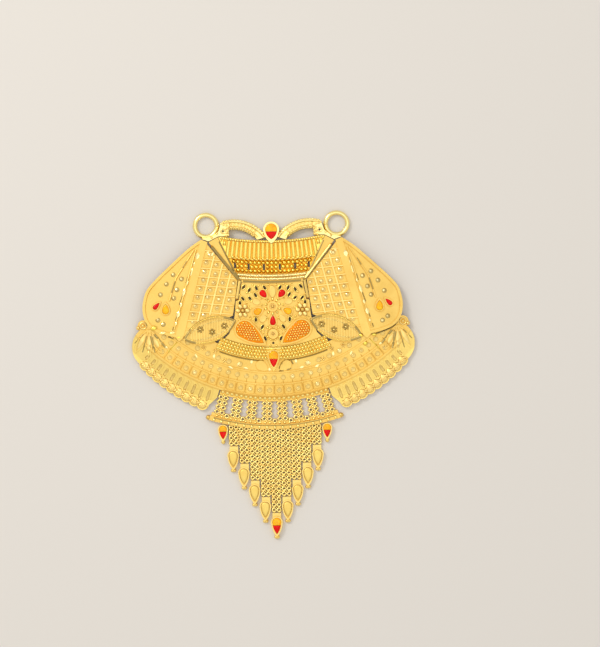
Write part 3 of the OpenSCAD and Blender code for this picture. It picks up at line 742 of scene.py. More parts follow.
# Bright granules over some of the granule row's own, clear of its slots
GRANULE_MID_R, ROW_PITCH, ROW_Z, BRIGHT_R, BRIGHT_SHARE = 57.1, 0.8, 1.3, 0.4, 0.6
ROW_SLOTS, ROW_GROUPS = (1.5, 4.4, 7), (-5.7, -2.95, 0, 2.95, 5.7)
bright = Work()
spots = []
for row in SIDES:
    for k in range(-9, 10):
        u = k * ROW_PITCH
        if abs(u) < 8 - row * 0.9 and min(abs(abs(u) - slot) for slot in ROW_SLOTS) > 0.4:
            spots.append(neck_point(GRANULE_MID_R + row * ROW_PITCH, u))
for group in ROW_GROUPS:
    spots += [(group + k * ROW_PITCH, neck_point(GRANULE_MID_R, group)[1]) for k in (-1, 0, 1)]
for u, v in spots:
    if dice.random() < BRIGHT_SHARE:
        bead(bright, flat_seat(u, v, ROW_Z), BRIGHT_R)
bright.finish("bright_granules", GRANULE_GOLD, "gold_deep")

# Twisted wires below the granules
ROPE_STEP, ROPE_LEAN, ROPE_BEAD_R = 0.3, radians(38), 0.18
ropes = Work()
for r, half_u, z in ROPE_ROWS:
    for u, v in [neck_point(r, u) for u in steps(half_u, ROPE_STEP)]:
        bead(ropes, flat_seat(u, v, z, ROPE_LEAN + math.asin(u / r)), ROPE_BEAD_R, long=1.9)
ropes.finish("twisted_wires", CUT_AND_GLINT_GOLD)

# Cut lines on the straps, which reach down into their roof-shaped bars, and a band under the twisted wires
STRAPS = ["bow_straps"]
STRAP_CUT_SINK = 0.16
cuts = Work()
ends = Work()
STRAP_LINES = ((cuts, [(11.2, -5.55), (6.3, -11.8)], 0.25), (cuts, [(9.85, -4.6), (7.15, -10.2)], 0.17),
               (ends, [(6.12, -12.05), (6.7, -15.4)], 0.26), (cuts, [(7, -10.5), (6, -12.1)], 0.2))
for side in SIDES:
    for work, line, half_w in STRAP_LINES:
        swept(work, on_side(side, evenly(line, 0.6)), half_w, 0.1, 0.02, on=STRAPS, sink=STRAP_CUT_SINK)
ends.finish("strap_ends", LEAF_GOLD)
band = [neck_point(CUT_BAND_R, k * 0.5) for k in range(-11, 12)]
swept(cuts, band, 0.2, 0.1, 0.03, on=STRAPS)
cuts.finish("strap_cuts", DULL_AND_SHADE_GOLD)

# Centre panel: wire rims round the slots, curls, granules round the hubs, cut petals and plain ones
PANEL = ["centre_panel"]
HUB, LOW_HUB = (0, -17), (0, -22.2)
ROSETTE, ROSETTE_R = (5.65, -17.7), 0.9
# Slots: place and lean in degrees
SLOTS = ((5.4, -13.25, 38), (4.35, -13.85, 28), (3, -13.5, -22), (1.45, -13.45, -32), (3.2, -14.8, -28),
         (5.6, -15.45, -38), (4.25, -15.45, -38), (6.15, -16.3, 0), (3.2, -19.45, -3), (2, -20.85, 32),
         (1.5, -23.05, -25))
rims = Work()
for u, v, turn in both(*[(u, v, radians(90 + degrees)) for u, v, degrees in SLOTS]):
    wire_ring(rims, flat_seat(u, v, PANEL_Z + 0.05, turn), 0.32, 0.1, long=1.75, sides=16)
CURL_POINTS, CURL_STEP, CURL_SHRINK = 10, 30, 0.07
# Curls: centre, radius and first angle
CURLS = ((4.35, -17, 0.5, 200), (4.2, -15.9, 0.28, 100), (1.15, -15.4, 0.36, 300),
         (4, -19.2, 0.42, 150), (1.1, -19.3, 0.3, 60), (6.5, -19.3, 0.42, 30), (2.6, -21.9, 0.34, 250))
for u, v, radius, first in CURLS:
    for side in SIDES:
        curl = []
        for k in range(CURL_POINTS):
            a = radians(first + CURL_STEP * k)
            r = radius * (1 - CURL_SHRINK * k)
            curl.append(place(side * (u + r * cos(a)), v + r * sin(a), PANEL_Z + 0.04))
        tube(rims, curl, 0.09)
rims.finish("slot_rims", BEAD_GOLD)

granules = Work()
for degrees in range(0, 360, 36):
    at = seat(*polar(1.35, degrees, HUB), radians(degrees - 90), on=PANEL)
    bead(granules, at, 0.23, long=1.5, high=0.8)
for k in range(-5, 6):
    bead(granules, seat(*polar(1.75, 180 + 17 * k, LOW_HUB), on=PANEL), 0.16)
for k in range(17):
    bead(granules, seat(*polar(1.15, 360 * k / 17, LOW_HUB), on=PANEL), 0.19)
for u, v in pair((2.6, -13), (4.85, -14.35), (3.75, -14.2), (2.15, -15.45), (4.85, -16.2), (6.2, -14.7),
                 (2, -16.7), (4.3, -18.9), (3.5, -18.7), (1.2, -19.1), (1, -21), (2.4, -21.6),
                 (0.75, -12.9), (2.1, -12.75), (3.7, -12.9), (1.1, -15.6), (7.6, -18.9), (7.9, -20),
                 (0.55, -24.4)):
    bead(granules, seat(u, v, on=PANEL), 0.21)
granules.finish("panel_granules", BEAD_GOLD)

cuts = Work()
rosette = [(*polar(ROSETTE_R, degrees, ROSETTE), radians(degrees - 90)) for degrees in range(30, 390, 60)]
for u, v, turn in both(*rosette):
    bead(cuts, flat_seat(u, v, PANEL_Z + 0.3, turn), 0.39, long=1.2, high=0.3)
for degrees in range(0, 360, 45):
    for hub in (HUB, LOW_HUB):
        u, v = polar(0.42, degrees, hub)
        cut_mark(cuts, flat_seat(u, v, PANEL_Z + 0.1, radians(degrees - 90)), 0.24, 0.12)
cuts.finish("panel_cuts", PETAL_GOLD)

petals = Work()
dish(petals, seat(0, -14.2, radians(90), on=PANEL), 0.62, long=1.9)
for u, v, turn in both((1.85, -19.3, radians(125)), (3.05, -16.1, radians(17))):
    dish(petals, seat(u, v, turn, on=PANEL), 0.58, long=1.35)
petals.finish("plain_petals", LEAF_GOLD)

# Rows of small beads below the mangos, clear of the lower cup
ARC_ROWS, ARC_FIRST_R, ARC_ROW_PITCH, ARC_BEAD_PITCH, ARC_HALF_ANGLE, ARC_Z = 4, 24.95, 0.6, 0.59, 23.2, 1.84
LOW_CUP_V, LOW_CUP_CLEAR, LOW_CUP_LEAN, ARC_BEAD_R = -26.3, 1.35, 0.1, 0.3
arcs = Work()
for row in range(ARC_ROWS):
    r = ARC_FIRST_R + row * ARC_ROW_PITCH
    step = math.degrees(ARC_BEAD_PITCH / r)
    count = int(ARC_HALF_ANGLE / step)
    for k in range(-count, count + 1):
        u, v = polar(r, (k + 0.5 * (row % 2)) * step)
        clear = abs(u) + (v - LOW_CUP_V) * LOW_CUP_LEAN > LOW_CUP_CLEAR
        if clear and seat(u, v, on=["bead_arcs"]) is not None:
            bead(arcs, flat_seat(u, v, ARC_Z), ARC_BEAD_R)
arcs.finish("beaded_arcs", BEAD_GOLD, "gold_deep")

# Wings: studs on darker discs, which show beside them as crescents of painted shade, and cut strokes and
# lines
painted_glints, studs, strokes, flowers = Work(), Work(), Work(), Work()
dull_and_shade_marks, dimples, lines, ridges = Work(), Work(), Work(), Work()
WINGS = ["wing_left", "wing_right"]
DISC_TURN, SHADE_CRESCENT_SHIFT = 0.3, (-0.07, 0.06)
LOBE_DOTS = ((18.7, -10.65), (20, -12.4), (21.15, -14.4), (17.1, -11.5), (18, -13.5), (18.65, -15.1),
             (21.7, -19.2), (20.7, -20))
LATTICE_DOTS = ((11.65, -7), (12.4, -8.5), (12.8, -10.2), (13, -11.8), (13.6, -13.45), (14.1, -15),
                (14.55, -16.7), (15.05, -18.3), (15.1, -19.6), (10.45, -9), (10.7, -10.7), (11.05, -12.35),
                (11.75, -13.7), (12.2, -15), (12.7, -16.85), (13, -18.35), (8.65, -10.7), (9.3, -12.4),
                (9.65, -14), (10.1, -15.5), (10.5, -17.1), (7.25, -12.5), (7.9, -14), (8.15, -15.65),
                (8.6, -17.2))
for discs, places in ((dull_and_shade_marks, LOBE_DOTS), (dimples, LATTICE_DOTS)):
    for u, v, turn in both(*[(u, v, DISC_TURN) for u, v in places]):
        at = seat(u, v, turn, on=WINGS)
        disc(discs, at, 0.47)
        if at is not None:
            stud(studs, flat_shift(at, SHADE_CRESCENT_SHIFT), dice.uniform(0.27, 0.36))
# Bright cut strokes between the lobe and its ridge band, placed and sized as painted glints: place, half
# length and half width
LOBE_STROKES = ((14, -7.2, 0.7, 0.36), (14.7, -8.8, 0.4, 0.13), (15.2, -10.2, 0.8, 0.27),
                (16, -12.3, 0.4, 0.13), (16.7, -14, 0.85, 0.27), (17.3, -16.4, 0.5, 0.2),
                (17.85, -18.2, 0.7, 0.32), (18.3, -19.9, 0.35, 0.2))
STROKE_LEAN = radians(-74)
for u, v, half_l, half_w in LOBE_STROKES:
    for a, b, turn in both((u, v, STROKE_LEAN)):
        cut_mark(strokes, seat(a, b, turn, on=WINGS), half_l, half_w)
for u, v, turn in both((12, -6.4, radians(120)), (11.2, -6.9, radians(115))):
    cut_mark(strokes, seat(u, v, turn, on=WINGS), 0.5, 0.18)
# Painted glints on the left lobe's foot only; the right foot has only dark lines of painted shade
for u, v in ((-20.75, -21.6), (-19, -21.6)):
    cut_mark(strokes, seat(u, v, radians(-167), on=WINGS), 0.5, 0.2)
LOBE_SHADES = ([(14.75, -8), (14.95, -8.8)], [(15.95, -11.1), (16.3, -12.3)],
               [(17, -14.6), (17.6, -16.4)], [(18.15, -18.6), (18.4, -19.3)],
               [(18.75, -20.5), (18.95, -21.2)], [(16.1, -8.1), (16.9, -9.4)],
               [(18.35, -11.9), (19.05, -14.1)])
for line in LOBE_SHADES:
    for side in SIDES:
        swept(dull_and_shade_marks, on_side(side, evenly(line, 0.35)), 0.12, 0.07, 0.03, on=WINGS, sink=0.12)

# Bright lines on the lattice's raised lines and between the lobe's two fields
LATTICE_TOP, LATTICE_FOOT, LATTICE_COLUMN, LATTICE_ROWS = (12.1, -4.6), (16.95, -22.6), 1.97, 11
COLUMN_LINE_W, CROSS_LINE_W, LOBE_LINE_W = 0.17, 0.1, 0.09
LINE_RISE = 0.03
columns = [[(u - i * LATTICE_COLUMN, v) for u, v in (LATTICE_TOP, LATTICE_FOOT)] for i in (1, 2, 3)]
crosses = []
for j in range(1, LATTICE_ROWS):
    u, v = (top + (foot - top) * j / LATTICE_ROWS for top, foot in zip(LATTICE_TOP, LATTICE_FOOT))
    crosses.append([(u, v), (u - 10, v - 0.8)])
LOBE_LINES = [[(14.3, -6), (18.7, -21.3)], [(14.6, -5.9), (18.2, -11.4)], [(18.2, -11.4), (19.5, -15.6)]]
for work, half_w, group in ((lines, COLUMN_LINE_W, columns), (lines, CROSS_LINE_W, crosses),
                            (ridges, LOBE_LINE_W, LOBE_LINES)):
    for line in group:
        for side in SIDES:
            runs = [[]]
            for u, v in on_side(side, evenly(line, 0.4)):
                found = top_at(u, v)
                if found and found[0] in WINGS:
                    runs[-1].append((u, v))
                else:
                    runs.append([])
            for run in runs:
                if len(run) > 2:
                    swept(work, run, half_w, LINE_RISE + FACET_SLOPE * half_w, LINE_RISE, on=WINGS)
ridges.finish("lobe_ridges", LEAF_GOLD)
lines.finish("lattice_wires", PETAL_GOLD)

# Leaves: dull lines at each tip, a beaded edge between them, two veins and three flowers
LEAVES = ["leaf_left", "leaf_right"]
LEAF_CENTRE, LEAF_TURN, LEAF_HALF_W, LEAF_HALF_L = (11.95, -21.25), radians(70.6), 2.17, 5.0
LEAF_STEPS, LEAF_TIP_STEPS, VEIN_SHARE, LEAF_TOP_Z = 24, 15, 0.6, 2.16
leaf_r = (LEAF_HALF_L ** 2 + LEAF_HALF_W ** 2) / (2 * LEAF_HALF_W)
leaf_sweep = math.asin(LEAF_HALF_L / leaf_r)


def leaf_edge(edge, k, share=1):
    """A point on an edge of the right leaf, or nearer its middle by a share. k counts from the mid-length."""
    a = leaf_sweep * k / (LEAF_STEPS + 0.5)
    x, y = edge * share * (leaf_r * cos(a) - leaf_r + LEAF_HALF_W), leaf_r * sin(a)
    return (LEAF_CENTRE[0] + x * cos(LEAF_TURN) - y * sin(LEAF_TURN),
            LEAF_CENTRE[1] + x * sin(LEAF_TURN) + y * cos(LEAF_TURN))


leaf_beads = Work()
veins = Work()
for side in SIDES:
    for edge in SIDES:
        for first in (-LEAF_STEPS, LEAF_TIP_STEPS):
            tip_line = [leaf_edge(edge, k) for k in range(first, first + LEAF_STEPS - LEAF_TIP_STEPS + 1)]
            swept(dull_and_shade_marks, on_side(side, tip_line), 0.22, *DULL_LINE, on=LEAVES)
        vein = [leaf_edge(edge, k, VEIN_SHARE) for k in range(-19, 20)]
        swept(veins, on_side(side, vein), 0.09, 0.07, 0.05, on=LEAVES, sink=0.14)
        for k in range(1 - LEAF_TIP_STEPS, LEAF_TIP_STEPS):
            u, v = leaf_edge(edge, k)
            bead(leaf_beads, seat(side * u, v, on=LEAVES), 0.13)
leaf_beads.finish("leaf_beads", BEAD_GOLD)
veins.finish("leaf_veins", EDGE_GOLD)
for u, v, turn in both((13.75, -21.1, 0.2), (11.5, -21.6, 0.5), (9.2, -20.5, 0.1)):
    flower(dull_and_shade_marks, flat_seat(u, v, LEAF_TOP_Z, turn), 6, 0.45, 0.23, heart=flowers)

# Skirt: rows of dimples with painted shade and glints, seams between its cells, cut strokes that also paint
# glints, dull lines and lines of painted shade, and side blades
SKIRT = ["skirt"]
SIDE_LEAVES_CENTRE, SIDE_LEAVES_R = (23.6, -23.5), 2.9
GLINTING_SHARE, SPOTTED_FROM = 0.08, 0.6


def clear_of_leaves(u, v):
    return math.dist((abs(u), v), SIDE_LEAVES_CENTRE) > SIDE_LEAVES_R


def dimple(u, v, size):
    """A shallow dimple of the skirt, in gold darkened with painted shade. Some carry a painted glint all
    over, and some only in one spot.
    """
    at = seat(u, v, on=SKIRT)
    if at is None:
        return
    luck = dice.random()
    dish(dimples, at, size)
    if luck < GLINTING_SHARE:
        dish(painted_glints, flat_shift(at, (0.05, 0.08)), 0.3)
    elif luck > SPOTTED_FROM:
        bead(painted_glints, flat_shift(at, (dice.uniform(-0.15, 0.05), dice.uniform(-0.05, 0.15))), 0.15, high=0.6)


# Rows of dimples: radius, pitch, least distance from the middle line and size
DIMPLE_ROWS, DIMPLE_HALF_ANGLE = ((28.5, 2.15, 5, 0.5), (30.5, 1.75, 0, 0.48)), 43
for r, pitch, least, size in DIMPLE_ROWS:
    for degrees in steps(DIMPLE_HALF_ANGLE, math.degrees(pitch / r)):
        u, v = polar(r, degrees)
        if abs(u) >= least and clear_of_leaves(u, v):
            dimple(u, v, size)
CELL_MID_R, CELL_STEP = 32.85, 3.2
for k in range(-14, 14):
    u, v = polar(CELL_MID_R, (k + 0.5) * CELL_STEP)
    if clear_of_leaves(u, v):
        dimple(u, v, 0.47)
# Bright cut strokes on the skirt, placed as painted glints: place and turn in degrees
SKIRT_STROKES = ((14.7, -26.1, 65), (11.3, -26.2, 95), (6.7, -27.7, 120), (5.3, -28.6, 20), (20.4, -24.3, 25),
                 (4.2, -27.4, 100), (8.2, -28.4, 30))
for u, v, turn in both(*[(u, v, radians(degrees)) for u, v, degrees in SKIRT_STROKES]):
    cut_mark(strokes, seat(u, v, turn, on=SKIRT), 0.52, 0.2)
cut_mark(strokes, seat(-0.83, -28.9, radians(83), on=SKIRT), 0.42, 0.2)
for u, v, turn in both((13.2, -24.6, 0.3), (9.3, -27, 0.1), (11, -25.2, 0.6)):
    flower(flowers, seat(u, v, turn, on=SKIRT), 5, 0.34, 0.18)
seams = Work()
for k in range(-13, 14):
    line = [polar(r, k * CELL_STEP) for r in (31.1, 31.6, 32.1, 32.6, 33.1, 33.6)]
    if clear_of_leaves(*line[0]):
        swept(seams, line, 0.07, *SEAM_LINE, on=SKIRT)
# A line of painted shadow in the gap between the skirt's edge and the comb
swept(seams, [polar(33.98, k * 1.5) for k in range(-11, 12)], 0.1, *SEAM_LINE, on=SKIRT)
seams.finish("skirt_seams", SEAM_AND_SHADE_GOLD)
# Dark lines of painted shade round the oval at the right of the lower drop, under the bead arcs and at the
# lobes' feet
OVAL_OUTLINE = ([(1, -28.8), (1.25, -28.3), (1.5, -27.85), (1.85, -27.4)],
                [(3.3, -27.35), (3.5, -27.65), (3.65, -28)],
                [(0.95, -29.25), (1.35, -29.2), (1.8, -29.13)], [(2.45, -29), (2.85, -28.9), (3.25, -28.7)])
for line in OVAL_OUTLINE:
    swept(dull_and_shade_marks, line, 0.15, *DULL_LINE, on=SKIRT)
below_arcs = [polar(27.35, k * 2) for k in range(-11, 12)]
for side in SIDES:
    swept(dull_and_shade_marks, [p for p in below_arcs if side * p[0] > 1.6], 0.16, 0.1, 0.02, on=SKIRT)
LOBE_FEET = ([(19.3, -22.55), (20.3, -22.25), (21.3, -21.9), (22.2, -21.5), (23, -20.95), (23.6, -20.3),
              (24, -19.6)], [(-18.9, -22.7), (-19.4, -22.55), (-19.9, -22.4)])
for line in LOBE_FEET:
    swept(dull_and_shade_marks, line, 0.16, *DULL_LINE, on=SKIRT)
SIDE_LEAF_ROOT = (23.5, -20.6)
blades = Work()
for degrees in (-25, 2, 30):
    for side in SIDES:
        root = (side * SIDE_LEAF_ROOT[0], SIDE_LEAF_ROOT[1])
        blade(blades, root, side * degrees, 1.05, 4.75, 0.4, SKIRT)
blades.finish("side_blades", PETAL_GOLD)
for degrees, half_w in ((-39, 0.2), (-12, 0.2), (16, 0.1), (44, 0.1)):
    line = [polar(r, degrees, SIDE_LEAF_ROOT) for r in (1.6, 2.4, 3.2, 4, 4.8)]
    for side in SIDES:
        swept(dull_and_shade_marks, on_side(side, line), half_w, 0.08, 0.04, on=SKIRT)

# Scalloped edge: a shell on each scallop, beads between shells, a dish in each oval, and a ring at each end
SCALLOPS, SCALLOP_FIRST, SCALLOP_STEP, SHELL_RIBS = 9, 21.2, 2.52, (-50, -25, 0, 25, 50)
OVALS, OVAL_FIRST, OVAL_STEP, OVAL_IN_R, OVAL_DISH_R = 10, 20.4, 2.45, 34.55, 0.33
shells = Work()
for i in range(SCALLOPS):
    for side in SIDES:
        a = side * (SCALLOP_FIRST + i * SCALLOP_STEP)
        at = seat(*polar(edge_r(a) - 1.05, a), radians(a - 90), on=SKIRT)
        if at is not None:
            bead(shells, at, 0.86, high=0.14)
            for rib in SHELL_RIBS:
                lean = Matrix.Translation((-0.7 * MM, 0, 0)) @ Matrix.Rotation(radians(rib), 4, "Z")
                outward = Matrix.Translation((0.95 * MM, 0, 0.07 * MM))
                bead(shells, at @ lean @ outward, 0.16, long=3.2, high=0.8)
        for inset, size, high in ((1.95, 0.24, 0.8), (0.62, 0.2, 0.9)):
            u, v = polar(edge_r(a) - inset, a + side * SCALLOP_STEP / 2)
            bead(shells, seat(u, v, on=SKIRT), size, high=high)
for i in range(OVALS):
    for side in SIDES:
        a = side * (OVAL_FIRST + i * OVAL_STEP)
        length = edge_r(a) - 1.7 - OVAL_IN_R
        if length > 1.0:
            at = seat(*polar(OVAL_IN_R + length / 2, a), radians(a + 90), on=SKIRT)
            dish(dimples, at, OVAL_DISH_R, long=(length - 0.5) / (2 * OVAL_DISH_R))
for u, v in pair((24.6, -20.2)):
    wire_ring(shells, seat(u, v, on=SKIRT), 0.62, 0.16)
    bead(shells, seat(u, v, on=SKIRT), 0.3)
for u, v in pair((25.5, -20.6)):
    bead(shells, seat(u, v), 0.34)
shells.finish("edge_shells", PETAL_GOLD)
painted_glints.finish("painted_glint_spots", CUT_AND_GLINT_GOLD)
studs.finish("cut_studs", CUT_AND_GLINT_GOLD)
strokes.finish("cut_strokes", CUT_AND_GLINT_GOLD)
dull_and_shade_marks.finish("dull_cuts_and_painted_shade", DULL_AND_SHADE_GOLD)
dimples.finish("skirt_dimples", DISH_SHADE_GOLD)
flowers.finish("small_flowers", EDGE_GOLD)

# Low drops of solder at the wings' feet, the last one a bright bead on the right that is a painted glint in a
# skirt dimple: place, turn, radius, length and lift
SOLDER_DROPS = ((-22.5, -20.7, 14, 0.45, 1.4, 0), (-17.85, -22.5, 8, 0.32, 1.9, -0.12),
                (-19, -22.75, 8, 0.2, 1.6, 0), (19.05, -22.6, -10, 0.34, 1.6, 0),
                (16.6, -22.75, -25, 0.3, 1.4, 0), (17.37, -24.27, 0, 0.5, 1, 0))
solder = Work()
for u, v, degrees, r, long, lift in SOLDER_DROPS:
    bead(solder, seat(u, v, radians(degrees), lift=lift), r, long=long, high=0.45)
for side in SIDES:
    swept(solder, on_side(side, evenly([(18, -23.2), (20, -25.3)], 0.5)), 0.1, 0.08, 0.02, on=SKIRT)
solder.finish("yellow_joints", GRANULE_GOLD, "gold_deep")

# Comb and rails: round wire on each ring, bumps between the rings and along the rails
COMB = ["comb"]
COMB_STEP, COMB_FIRST_R, COMB_PITCH, COMB_ROWS, COMB_Z = 4.53, 35.45, 0.95, 4, 0.5
COMB_RING_R, COMB_WIRE_R, COMB_LAST_R = 0.35, 0.15, 38.75
# Rows of bumps: radius, step, half angle and size
BUMP_ROWS = ((34.35, 1.5, 16.6, 0.42), (39.93, 2.1, 17, 0.3), (39.1, 1.36, 17.4, 0.26))
bumps = Work()
rings = Work()
columns = [(k - 3.5) * COMB_STEP for k in range(8)]
comb_spots = [(column, side * COMB_PITCH / 2, COMB_FIRST_R + j * COMB_PITCH)
              for column in columns for j in range(COMB_ROWS) for side in SIDES]
comb_spots += [(k * COMB_STEP, 0, COMB_LAST_R) for k in range(-3, 4)]
for degrees, x, r in comb_spots:
    a = radians(degrees)
    spot = flat_seat(x * cos(a) + r * sin(a), x * sin(a) - r * cos(a), COMB_Z)
    wire_ring(rings, spot, COMB_RING_R, COMB_WIRE_R, sides=12)
rings.finish("comb_rings", CHAIN_GOLD, "gold_chain")
for column in columns:
    for j in range(COMB_ROWS + 1):
        r = COMB_FIRST_R + j * COMB_PITCH
        bead(bumps, flat_seat(*polar(COMB_FIRST_R + (j - 0.5) * COMB_PITCH, column), COMB_Z), 0.24)
        if j < COMB_ROWS:
            for shift in (0, -COMB_PITCH, COMB_PITCH):
                bead(bumps, flat_seat(*polar(r, column + math.degrees(shift / r)), COMB_Z), 0.17)
for r, step, half_angle, size in BUMP_ROWS:
    for degrees in steps(half_angle, step):
        bead(bumps, seat(*polar(r, degrees), on=COMB), size, high=0.7)
bumps.finish("comb_bumps", CHAIN_GOLD, "gold_chain")
rail_line = Work()
swept(rail_line, [polar(39.57, k) for k in range(-17, 18)], 0.1, *SEAM_LINE, on=COMB)
rail_line.finish("rail_line", DULL_AND_SHADE_GOLD)

# Fringe: round wire on each ring of its links, a bead on each upright loop, and beads between them
LINK_PITCH, LINK_RING_X, LINK_TOP_Z, RAIL_OUT_R, STRAND_PITCH = 1, 0.475, 0.5, 40.25, 1.97
RAIL_RING_DROP, LINK_RING_R, LINK_WIRE_R = 0.35, 0.335, 0.17
LOOP_BEAD_Z, SIDE_BEAD_U, JOIN_Z, JOIN_R = 0.62, 0.8, 0.48, 0.13


def rail_v(k):
    """Where the comb's rings lie that strand k hangs from."""
    return -sqrt(RAIL_OUT_R ** 2 - (k * STRAND_PITCH) ** 2) - RAIL_RING_DROP


def link_count(k):
    return 3 * (5 - abs(k))


wires = Work()
for k in range(-4, 5):
    for i in range(link_count(k) + 1):
        mid_u, linked = k * STRAND_PITCH, i < link_count(k)
        ring_v, loop_v = rail_v(k) - i * LINK_PITCH, rail_v(k) - (i + 0.5) * LINK_PITCH
        for side in SIDES:
            ring_u = mid_u + side * LINK_RING_X
            wire_ring(wires, flat_seat(ring_u, ring_v, LINK_TOP_Z), LINK_RING_R, LINK_WIRE_R, sides=14)
            if linked:
                bead(wires, flat_seat(ring_u, loop_v, LOOP_BEAD_Z), 0.22)
                bead(wires, flat_seat(mid_u + side * SIDE_BEAD_U, loop_v, JOIN_Z), JOIN_R)
        if k < 4 and i < link_count(k + 1) + 1:
            u, v = (k + 0.5) * STRAND_PITCH, (rail_v(k) + rail_v(k + 1)) / 2 - i * LINK_PITCH
            bead(wires, flat_seat(u, v, LINK_TOP_Z), 0.16)
            if linked and i < link_count(k + 1):
                lean = radians(135 if k >= 0 else 45)
                bead(wires, flat_seat(u, v - LINK_PITCH / 2, JOIN_Z, lean), JOIN_R, long=2.2)
        if linked:
            lean = radians(45 if (i + k) % 2 else 135)
            bead(wires, flat_seat(mid_u, loop_v, JOIN_Z, lean), JOIN_R, long=1.8)
wires.finish("link_wires", CHAIN_GOLD, "gold_chain")

# Enamel is domed, and replaces the CAD's stepped blocks
# Cups: middle, turn in degrees, half width, length of the tip, height and rim
CREST_CUP = (0, -2.5, 0, 1.5, 2.6, 2.2, 0.34)
SKIRT_CUP = (0, -26.3, 0, 1.15, 2.85, 2.15, 0.25)
END_CUP = (0, -57.9, 0, 1.1, 2.8, 0.95, 0.24)
SIDE_CUP = (9.87, -40.15, 0, 0.95, 2.3, 0.95, 0.2)
MANGO_CUP = (5.4, -21.25, -54, 1.9, 5.1, 2.25, 0.28)
PETAL_LOW_CUP = (0, -20, 180, 0.75, 1.75, 2.1, 0.18)
# Cups of the right half that hold one colour
WHOLE_CUPS = {"mango_enamel": MANGO_CUP,
              "petal_red": (1.85, -14.45, -40, 0.8, 1.5, 2.1, 0.18),
              "petal_orange": (2.95, -17.95, -114, 0.85, 1.4, 2.1, 0.18),
              "wing_red": (22.2, -16.8, -135, 0.6, 1.6, 2.15, 0.16),
              "wing_orange": (20.2, -17.45, 180, 0.85, 1.65, 2.35, 0.17)}
# Where the orange and the red of one cup meet, above or below its middle
SIDE_SPLIT, CREST_SPLIT, LOW_SPLIT = -0.4, -0.35, -0.6
LEFT, RIGHT = SIDES
for side, name in ((LEFT, "left"), (RIGHT, "right")):
    for kind, cup in WHOLE_CUPS.items():
        enamel_dome(f"{kind}_{name}", cup, side)
    enamel_dome(f"side_orange_{name}", SIDE_CUP, side, above=SIDE_SPLIT)
    enamel_dome(f"side_red_{name}", SIDE_CUP, side, below=SIDE_SPLIT)
for name, cup, split in (("crest", CREST_CUP, CREST_SPLIT), ("skirt", SKIRT_CUP, LOW_SPLIT),
                         ("drop", END_CUP, LOW_SPLIT)):
    enamel_dome(f"{name}_enamel_orange", cup, RIGHT, above=split)
    enamel_dome(f"{name}_enamel_red", cup, RIGHT, below=split)
enamel_dome("petal_red_lower", PETAL_LOW_CUP, RIGHT)

# The lower cup's rim is satin, unlike the beaded wires that it is soldered into
CUP_RIM_HALF_W, CUP_RIM_INSET, CUP_TIP_INSET = 0.12, 0.125, 0.27
rim_outline = drop_outline(SKIRT_CUP[3] - CUP_RIM_INSET, SKIRT_CUP[4] - CUP_TIP_INSET)
cup_rim = Work()
swept(cup_rim, [(x, SKIRT_CUP[1] + y) for x, y in rim_outline], CUP_RIM_HALF_W,
      LINE_RISE + FACET_SLOPE * CUP_RIM_HALF_W, LINE_RISE, on=["bead_arcs"], closed=True)
cup_rim.finish("lower_cup_rim", SATIN_GOLD)

# Gold granules set on the mango enamel. Each mango keeps a plain border on its left
granules = Work()
GRANULE_PITCH, GRANULE_R, GRANULE_LIFT, PLAIN_BORDER = 0.49, 0.2, 0.04, 0.55
# The distance of the granules' rows as a share of their pitch, and how far they keep from the rim and the tip
GRANULE_ROWS, GRANULE_INSET, GRANULE_TIP_INSET = 0.87, 0.22, 0.6
u0, v0, degrees, half_w, tip, cup_z, rim = MANGO_CUP
mango_turn = radians(degrees)
outline = drop_outline(half_w - rim - GRANULE_INSET, tip - TIP_RIMS * rim - GRANULE_TIP_INSET)
for row in range(-15, 8):
    for k in range(-7, 8):
        x, y = (k + 0.5 * (row % 2)) * GRANULE_PITCH + 0.05, row * GRANULE_PITCH * GRANULE_ROWS
        if not inside(outline, x, y):
            continue
        z = cup_z - ENAMEL_EDGE_DROP + ENAMEL_RISE * dome_height(half_w - rim, tip - TIP_RIMS * rim, x, y)
        a = u0 + x * cos(mango_turn) - y * sin(mango_turn)
        b = v0 + x * sin(mango_turn) + y * cos(mango_turn)
        for side in SIDES:
            if side * x > -half_w + rim + PLAIN_BORDER:
                bead(granules, flat_seat(side * a, b, z + GRANULE_LIFT), GRANULE_R)
granules.finish("mango_granules", FLUTE_GOLD)

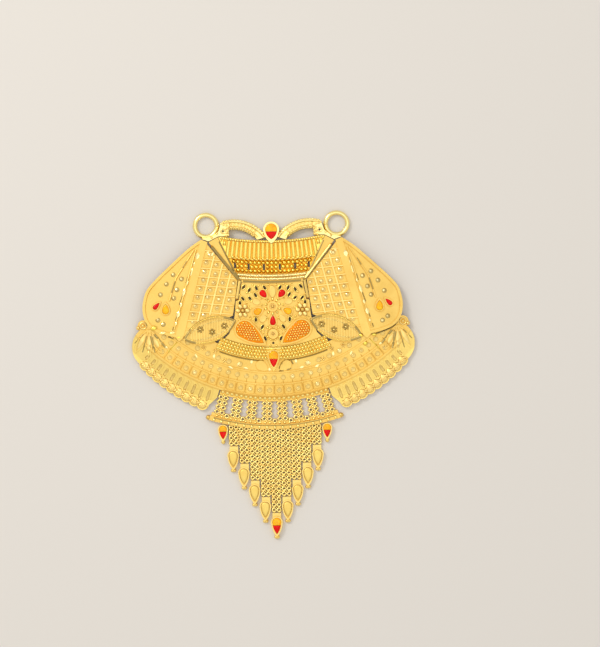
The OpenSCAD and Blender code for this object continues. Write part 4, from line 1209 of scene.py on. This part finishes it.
# A smooth satin face in each plain drop, which leans a little outwards from under its strand
DROP_LEAN, LINK_CAP_GAP, CAP_L, DROP_TOP_R, CAP_OVERLAP = 0.15, 0.05, 0.8, 1.1, 0.15
faces = Work()
for k in (-4, -3, -2, -1, 1, 2, 3, 4):
    lean = math.copysign(DROP_LEAN, k)
    cap_v = rail_v(k) - (link_count(k) + 0.5) - LINK_CAP_GAP
    drop_v = cap_v - CAP_L - DROP_TOP_R + CAP_OVERLAP
    dome(faces, drop_outline(0.8, 2.1), flat_seat(k * STRAND_PITCH + lean, drop_v, 0.72), 0.16, 0.1, power=6)
faces.finish("drop_faces", DROP_GOLD, "gold_drop")

# Scene setting: floor, camera and soft light
FLOOR_HALF = 1.5
floor_corners = [(x * FLOOR_HALF, y * FLOOR_HALF, 0) for x, y in ((-1, -1), (1, -1), (1, 1), (-1, 1))]
floor_mesh = bpy.data.meshes.new("floor")
floor_mesh.from_pydata(floor_corners, [], [(0, 1, 2, 3)])
floor = put("floor", floor_mesh)
floor_look = new_material("pale floor", {"Base Color": (0.72, 0.69, 0.66, 1), "Roughness": 0.85})
floor_mesh.materials.append(floor_look[0])

# The photograph's frame is 114 by 122.9 mm, seen from straight above, with the pendant turned a little
CAMERA_HEIGHT, CAMERA_OVER, CAMERA_TURN = 0.35, (5.11, 9.71), -1.1
FRAME_HEIGHT, SENSOR = 0.1229, 36.0
eye = bpy.data.cameras.new("camera")
eye.sensor_width = SENSOR
eye.lens = SENSOR * CAMERA_HEIGHT / FRAME_HEIGHT
camera = put("camera", eye)
camera.location = (CAMERA_OVER[0] * MM, CAMERA_OVER[1] * MM, CAMERA_HEIGHT)
camera.rotation_euler = (0, 0, radians(CAMERA_TURN))
bpy.context.scene.camera = camera


def soft_light(name, location, size, watts, colour=(1, 1, 1)):
    """A square soft box that points at the pendant."""
    lamp = bpy.data.lights.new(name, "AREA")
    lamp.size = size
    lamp.energy = watts
    lamp.color = colour
    box = put(name, lamp)
    box.location = location
    box.rotation_euler = (-Vector(location)).to_track_quat("-Z", "Y").to_euler()


soft_light("overhead box", (0.02, 0.03, 0.6), 0.42, 0.37)
soft_light("upper left box", (-0.2, 0.22, 0.3), 0.12, 0.5, (1, 0.97, 0.9))

STUDIO_TONE, STUDIO_LIGHT = (1, 0.97, 0.91, 1), 0.79
world = bpy.data.worlds.new("studio")
world.use_nodes = True
background = world.node_tree.nodes["Background"].inputs
background["Color"].default_value = STUDIO_TONE
background["Strength"].default_value = STUDIO_LIGHT
bpy.context.scene.world = world
bpy.context.scene.view_settings.view_transform = "Standard"
